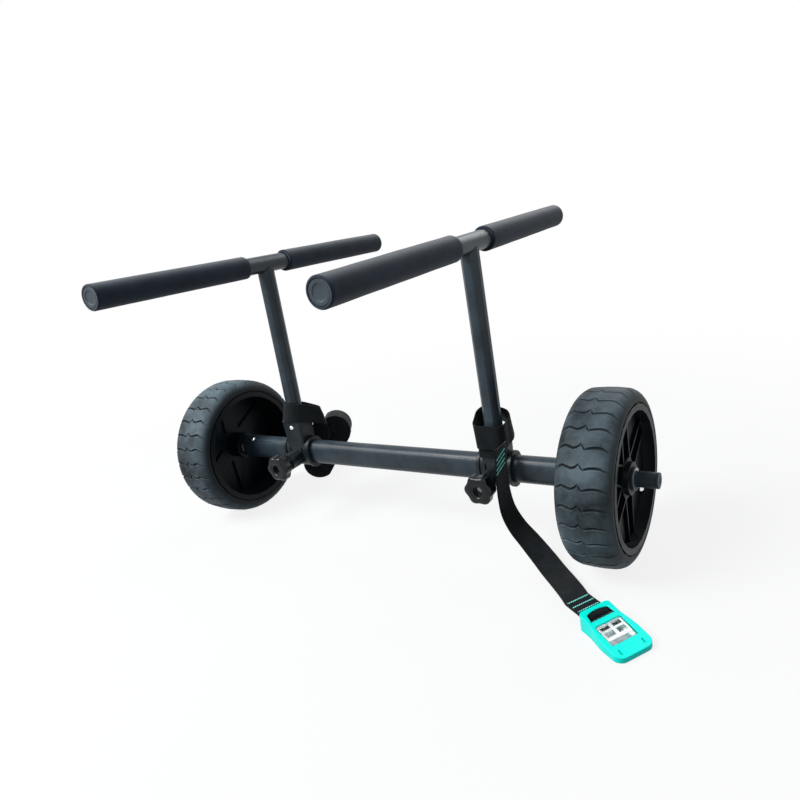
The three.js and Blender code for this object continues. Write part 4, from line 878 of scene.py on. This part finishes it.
def weave_group():
    tree, start, end = new_group("ShaderNodeTree", "weave", [
        ("Rib Pitch", "Float", 0.0016), ("Yarn Pitch", "Float", 0.0022)],
        [("Height", "Float"), ("Shade", "Float")])
    place = add(tree, "ShaderNodeUVMap", uv_map="along_across")
    split = add(tree, "ShaderNodeSeparateXYZ", [(0, place.outputs[0])])

    def wave_of(coordinate, pitch, offset):
        cycles = sums(tree, "DIVIDE", coordinate, pitch)
        return sums(tree, "SINE", sums(tree, "MULTIPLY_ADD", cycles, 2 * math.pi, offset))

    ribs = wave_of(split.outputs[0], start.outputs["Rib Pitch"], 0.0)
    shifted = sums(tree, "MULTIPLY", ribs, 1.2)
    yarns = wave_of(split.outputs[1], start.outputs["Yarn Pitch"], shifted)
    height = sums(tree, "MULTIPLY_ADD", yarns, 0.5, ribs)
    shade = add(tree, "ShaderNodeMapRange", [
        ("Value", height), ("From Min", -1.5), ("From Max", 1.5)])
    feed(tree, end, [("Height", shade.outputs[0]), ("Shade", shade.outputs[0])])
    return tree


grain, dusting, weave = grain_group(), dusting_group(), weave_group()
print("shader groups:", grain.name, dusting.name, weave.name)

# %% [markdown]
# A finish is a base colour, a film over it, and the real material's roughness and grain. The film
# is pale dust on black parts and dull tarnish on metal. On the tyres the film also paints shade
# into the grooves and a highlight onto the lips. The black parts differ little in colour,
# so roughness tells powder-coated tube, moulded nylon, glossy knobs and rubber apart.


# %% Materials from a base colour, a grain and a film
def linear(code):
    """A colour as it is written for a screen, as the shader wants it."""
    parts = [int(code[i:i + 2], 16) / 255 for i in (0, 2, 4)]
    return [p / 12.92 if p <= 0.04045 else ((p + 0.055) / 1.055) ** 2.4 for p in parts] + [1]


def shader_of(material):
    """The material's tree and its Principled shader."""
    material.use_nodes = True
    return material.node_tree, material.node_tree.nodes["Principled BSDF"]


def coated(material, colour, dust, amount, rough, gloss=0.5, spread=0.15, scale=900.0,
           bump=0.02, dust_scale=14.0, where=None, **shader_values):
    """A grained surface and its film, which holds where an attribute says. Other values go on
    the shader itself."""
    if isinstance(material, str):
        material = bpy.data.materials.new(material)
    tree, shader = shader_of(material)
    skin = add(tree, "ShaderNodeGroup", node_tree=grain, links=[
        ("Scale", scale), ("Roughness", rough), ("Spread", spread)])
    if where:
        allowed = add(tree, "ShaderNodeAttribute", attribute_name=where)
        amount = sums(tree, "MULTIPLY", allowed.outputs["Fac"], amount)
    film = add(tree, "ShaderNodeGroup", node_tree=dusting, links=[
        ("Colour", linear(colour)), ("Dust", linear(dust)), ("Amount", amount),
        ("Scale", dust_scale)])
    relief = add(tree, "ShaderNodeBump", [
        ("Height", skin.outputs["Height"]), ("Strength", 0.5), ("Distance", bump * MM)])
    feed(tree, shader, [
        ("Base Color", film.outputs["Colour"]), ("Roughness", skin.outputs["Roughness"]),
        ("Specular IOR Level", gloss), ("Normal", relief.outputs[0])])
    feed(tree, shader, [(label.replace("_", " "), value)
                        for label, value in shader_values.items()])
    return material


def both_sides(*names):
    return [shown[side + name] for side in ("left_", "right_") for name in names]


def dress(pieces, material):
    for piece in pieces:
        piece.data.materials.clear()
        piece.data.materials.append(material)
        piece.data.polygons.foreach_set("material_index", [0] * len(piece.data.polygons))


# The rubber's pale film is dust on the treads and a painted highlight on the groove lips; the
# grooves stay dark as painted shade.
coated(rubber, "0c1418", "72838c", 0.95, 0.62, 0.2, scale=700.0, bump=0.12, dust_scale=9.0,
       where="dust_and_painted_light")
rim_plastic = coated("rim_plastic", "040a0e", "15222a", 0.35, 0.42, 0.12, scale=500.0,
                     bump=0.05)
powder = coated("powder_coat", "1d2830", "5f707b", 0.32, 0.36, 0.3, scale=1500.0, bump=0.04)
moulding = coated("glass_filled_moulding", "12191d", "47535a", 0.2, 0.4, 0.25, scale=1100.0,
                  bump=0.05)
knob_gloss = coated("knob_moulding", "060c10", "1c262c", 0.2, 0.28, 0.28, scale=800.0,
                    bump=0.03)
foam_skin = coated("foam_skin", "19232f", "2e3d51", 0.6, 0.8, 0.1, scale=1300.0, bump=0.18,
                   dust_scale=26.0, Sheen_Weight=0.35, Sheen_Roughness=0.5)
plug_plastic = coated("plug_plastic", "333d45", "6c777e", 0.3, 0.55, 0.3, bump=0.06)
bearing_nylon = coated("bearing_nylon", "1a1f23", "495359", 0.25, 0.5, 0.3)
bright_steel = coated("bright_steel", "f2f5f6", "c4c9cb", 0.1, 0.3, spread=0.12, scale=400.0,
                      bump=0.01, Metallic=1.0)
zinc_plate = coated("zinc_plate", "8f9599", "5f6467", 0.35, 0.38, spread=0.2, scale=300.0,
                    Metallic=1.0)
turquoise = coated("turquoise_moulding", "00faea", "00eedb", 0.25, 0.4, 0.25, spread=0.1,
                   scale=700.0, bump=0.03)
coated(thread, "8ff9ee", "55ddd0", 0.4, 0.6, scale=2500.0, bump=0.1, dust_scale=300.0)


def woven(name, colour, light, rib_pitch, yarn_pitch, bump):
    material = bpy.data.materials.new(name)
    tree, shader = shader_of(material)
    cloth = add(tree, "ShaderNodeGroup", node_tree=weave, links=[
        ("Rib Pitch", rib_pitch), ("Yarn Pitch", yarn_pitch)])
    film = add(tree, "ShaderNodeGroup", node_tree=dusting, links=[
        ("Colour", linear(colour)), ("Dust", linear(light)), ("Amount", 0.35),
        ("Scale", 60.0)])
    shaded = add(tree, "ShaderNodeMix", [
        (0, cloth.outputs["Shade"]), (6, linear(colour)), (7, film.outputs["Colour"])],
        data_type="RGBA")
    relief = add(tree, "ShaderNodeBump", [
        ("Height", cloth.outputs["Height"]), ("Strength", 0.8), ("Distance", bump * MM)])
    feed(tree, shader, [
        ("Base Color", shaded.outputs[2]), ("Normal", relief.outputs[0]), ("Roughness", 0.75),
        ("Specular IOR Level", 0.12), ("Sheen Weight", 0.2), ("Sheen Roughness", 0.4)])
    return material


black_webbing = woven("black_webbing", "05090c", "3a454b", 0.0026, 0.0030, 0.35)
black_elastic = woven("black_elastic", "0a0e11", "2c3338", 0.0011, 0.0040, 0.2)

dress(tyres.values(), rubber)
dress(both_sides("rim"), rim_plastic)
dress([shown["cross_tube"]] + both_sides("stub_axle", "post", "bar"), powder)
dress(both_sides("tube_plug", "clamp_body"), moulding)
dress(knobs.values(), knob_gloss)
dress(foams, foam_skin)
dress(both_sides("front_plug", "back_plug", "axle_cap"), plug_plastic)
dress(both_sides("inner_bush", "outer_bush"), bearing_nylon)
dress(both_sides("rivet", "axle_button", "bar_button") + buckle_steel, bright_steel)
dress(both_sides("inner_washer", "outer_washer", "axle_spring", "clamp_screw", "bar_spring"),
      zinc_plate)
dress([cover], turquoise)
dress([right_strap, right_loop, right_ply, left_loop, left_drop, left_roll, right_eye],
      black_webbing)
dress([left_band], black_elastic)
print("materials:", len(bpy.data.materials))

# %% [markdown]
# The cart stands on a plain pale floor in soft studio light. The camera, gloss and glass see the
# room as white, but the light that falls on the cart is dim from the room and strong from one
# lamp, which keeps black parts black and gives each form a lit and a shaded side. The floor's own
# white grows with distance, so that it has no edge against the room.


# %% The floor, the room and the lamps
def seen_directly(tree):
    """1 for rays from the camera, from gloss and through glass, otherwise 0."""
    path = add(tree, "ShaderNodeLightPath").outputs
    clear = sums(tree, "MAXIMUM", path["Is Camera Ray"], path["Is Transmission Ray"])
    return sums(tree, "MAXIMUM", clear, path["Is Glossy Ray"])


FLOOR_HALF, FLOOR_Z, MIDDLE = 9, -0.0004, Vector((0, 0, 0.2))
floor_mesh = bpy.data.meshes.new("floor")
floor_mesh.from_pydata([(x * FLOOR_HALF, y * FLOOR_HALF, FLOOR_Z) for x, y in (
    (-1, -1), (1, -1), (1, 1), (-1, 1))], [], [(0, 1, 2, 3)])
floor = placed("floor", floor_mesh)
paper = bpy.data.materials.new("pale_floor")
tree, plain = shader_of(paper)
shade = add(tree, "ShaderNodeMix", [
    (0, seen_directly(tree)), (6, (0.15, 0.16, 0.17, 1)), (7, (0.7, 0.71, 0.72, 1))],
    data_type="RGBA")
feed(tree, plain, [("Base Color", shade.outputs[2]), ("Roughness", 0.95)])
glow = add(tree, "ShaderNodeEmission", [("Color", (1, 1, 1, 1)), ("Strength", 1.0)])
place = add(tree, "ShaderNodeTexCoord")
far = add(tree, "ShaderNodeVectorMath", [(0, place.outputs["Object"])], operation="LENGTH")
fade = add(tree, "ShaderNodeMapRange", [
    ("Value", far.outputs["Value"]), ("From Min", 0.4), ("From Max", 1.5), ("To Min", 0.84),
    ("To Max", 1.0)], interpolation_type="SMOOTHSTEP")
share = sums(tree, "MULTIPLY", seen_directly(tree), fade.outputs[0])
both = add(tree, "ShaderNodeMixShader", [
    (0, share), (1, plain.outputs[0]), (2, glow.outputs[0])])
feed(tree, tree.nodes["Material Output"], [("Surface", both.outputs[0])])
floor_mesh.materials.append(paper)

world = bpy.data.worlds.new("studio")
bpy.context.scene.world = world
world.use_nodes = True
tree = world.node_tree
room = feed(tree, tree.nodes["Background"], [
    ("Color", (0.93, 0.96, 1, 1)), ("Strength", 0.18)])
white = add(tree, "ShaderNodeBackground", [("Color", (1, 1, 1, 1)), ("Strength", 1.0)])
both = add(tree, "ShaderNodeMixShader", [
    (0, seen_directly(tree)), (1, room.outputs[0]), (2, white.outputs[0])])
feed(tree, tree.nodes["World Output"], [("Surface", both.outputs[0])])

for name, place, size, power, tint in (
        ("key", (-1.3, -1.5, 2.3), 1.4, 112, (0.97, 0.99, 1)),
        ("fill", (2.4, -1.0, 1.3), 1.8, 9, (0.93, 0.97, 1)),
        ("rim_light", (0.3, 2.4, 1.9), 1.6, 26, (0.95, 0.98, 1))):
    lamp_data = bpy.data.lights.new(name, "AREA")
    lamp_data.size, lamp_data.energy, lamp_data.color = size, power, tint
    lamp = placed(name, lamp_data)
    lamp.location = place
    aim = MIDDLE - lamp.location
    lamp.rotation_euler = aim.to_track_quat("-Z", "Y").to_euler()
    print(name, "lamp:", power, "W")
bpy.context.scene.view_settings.view_transform = "Standard"
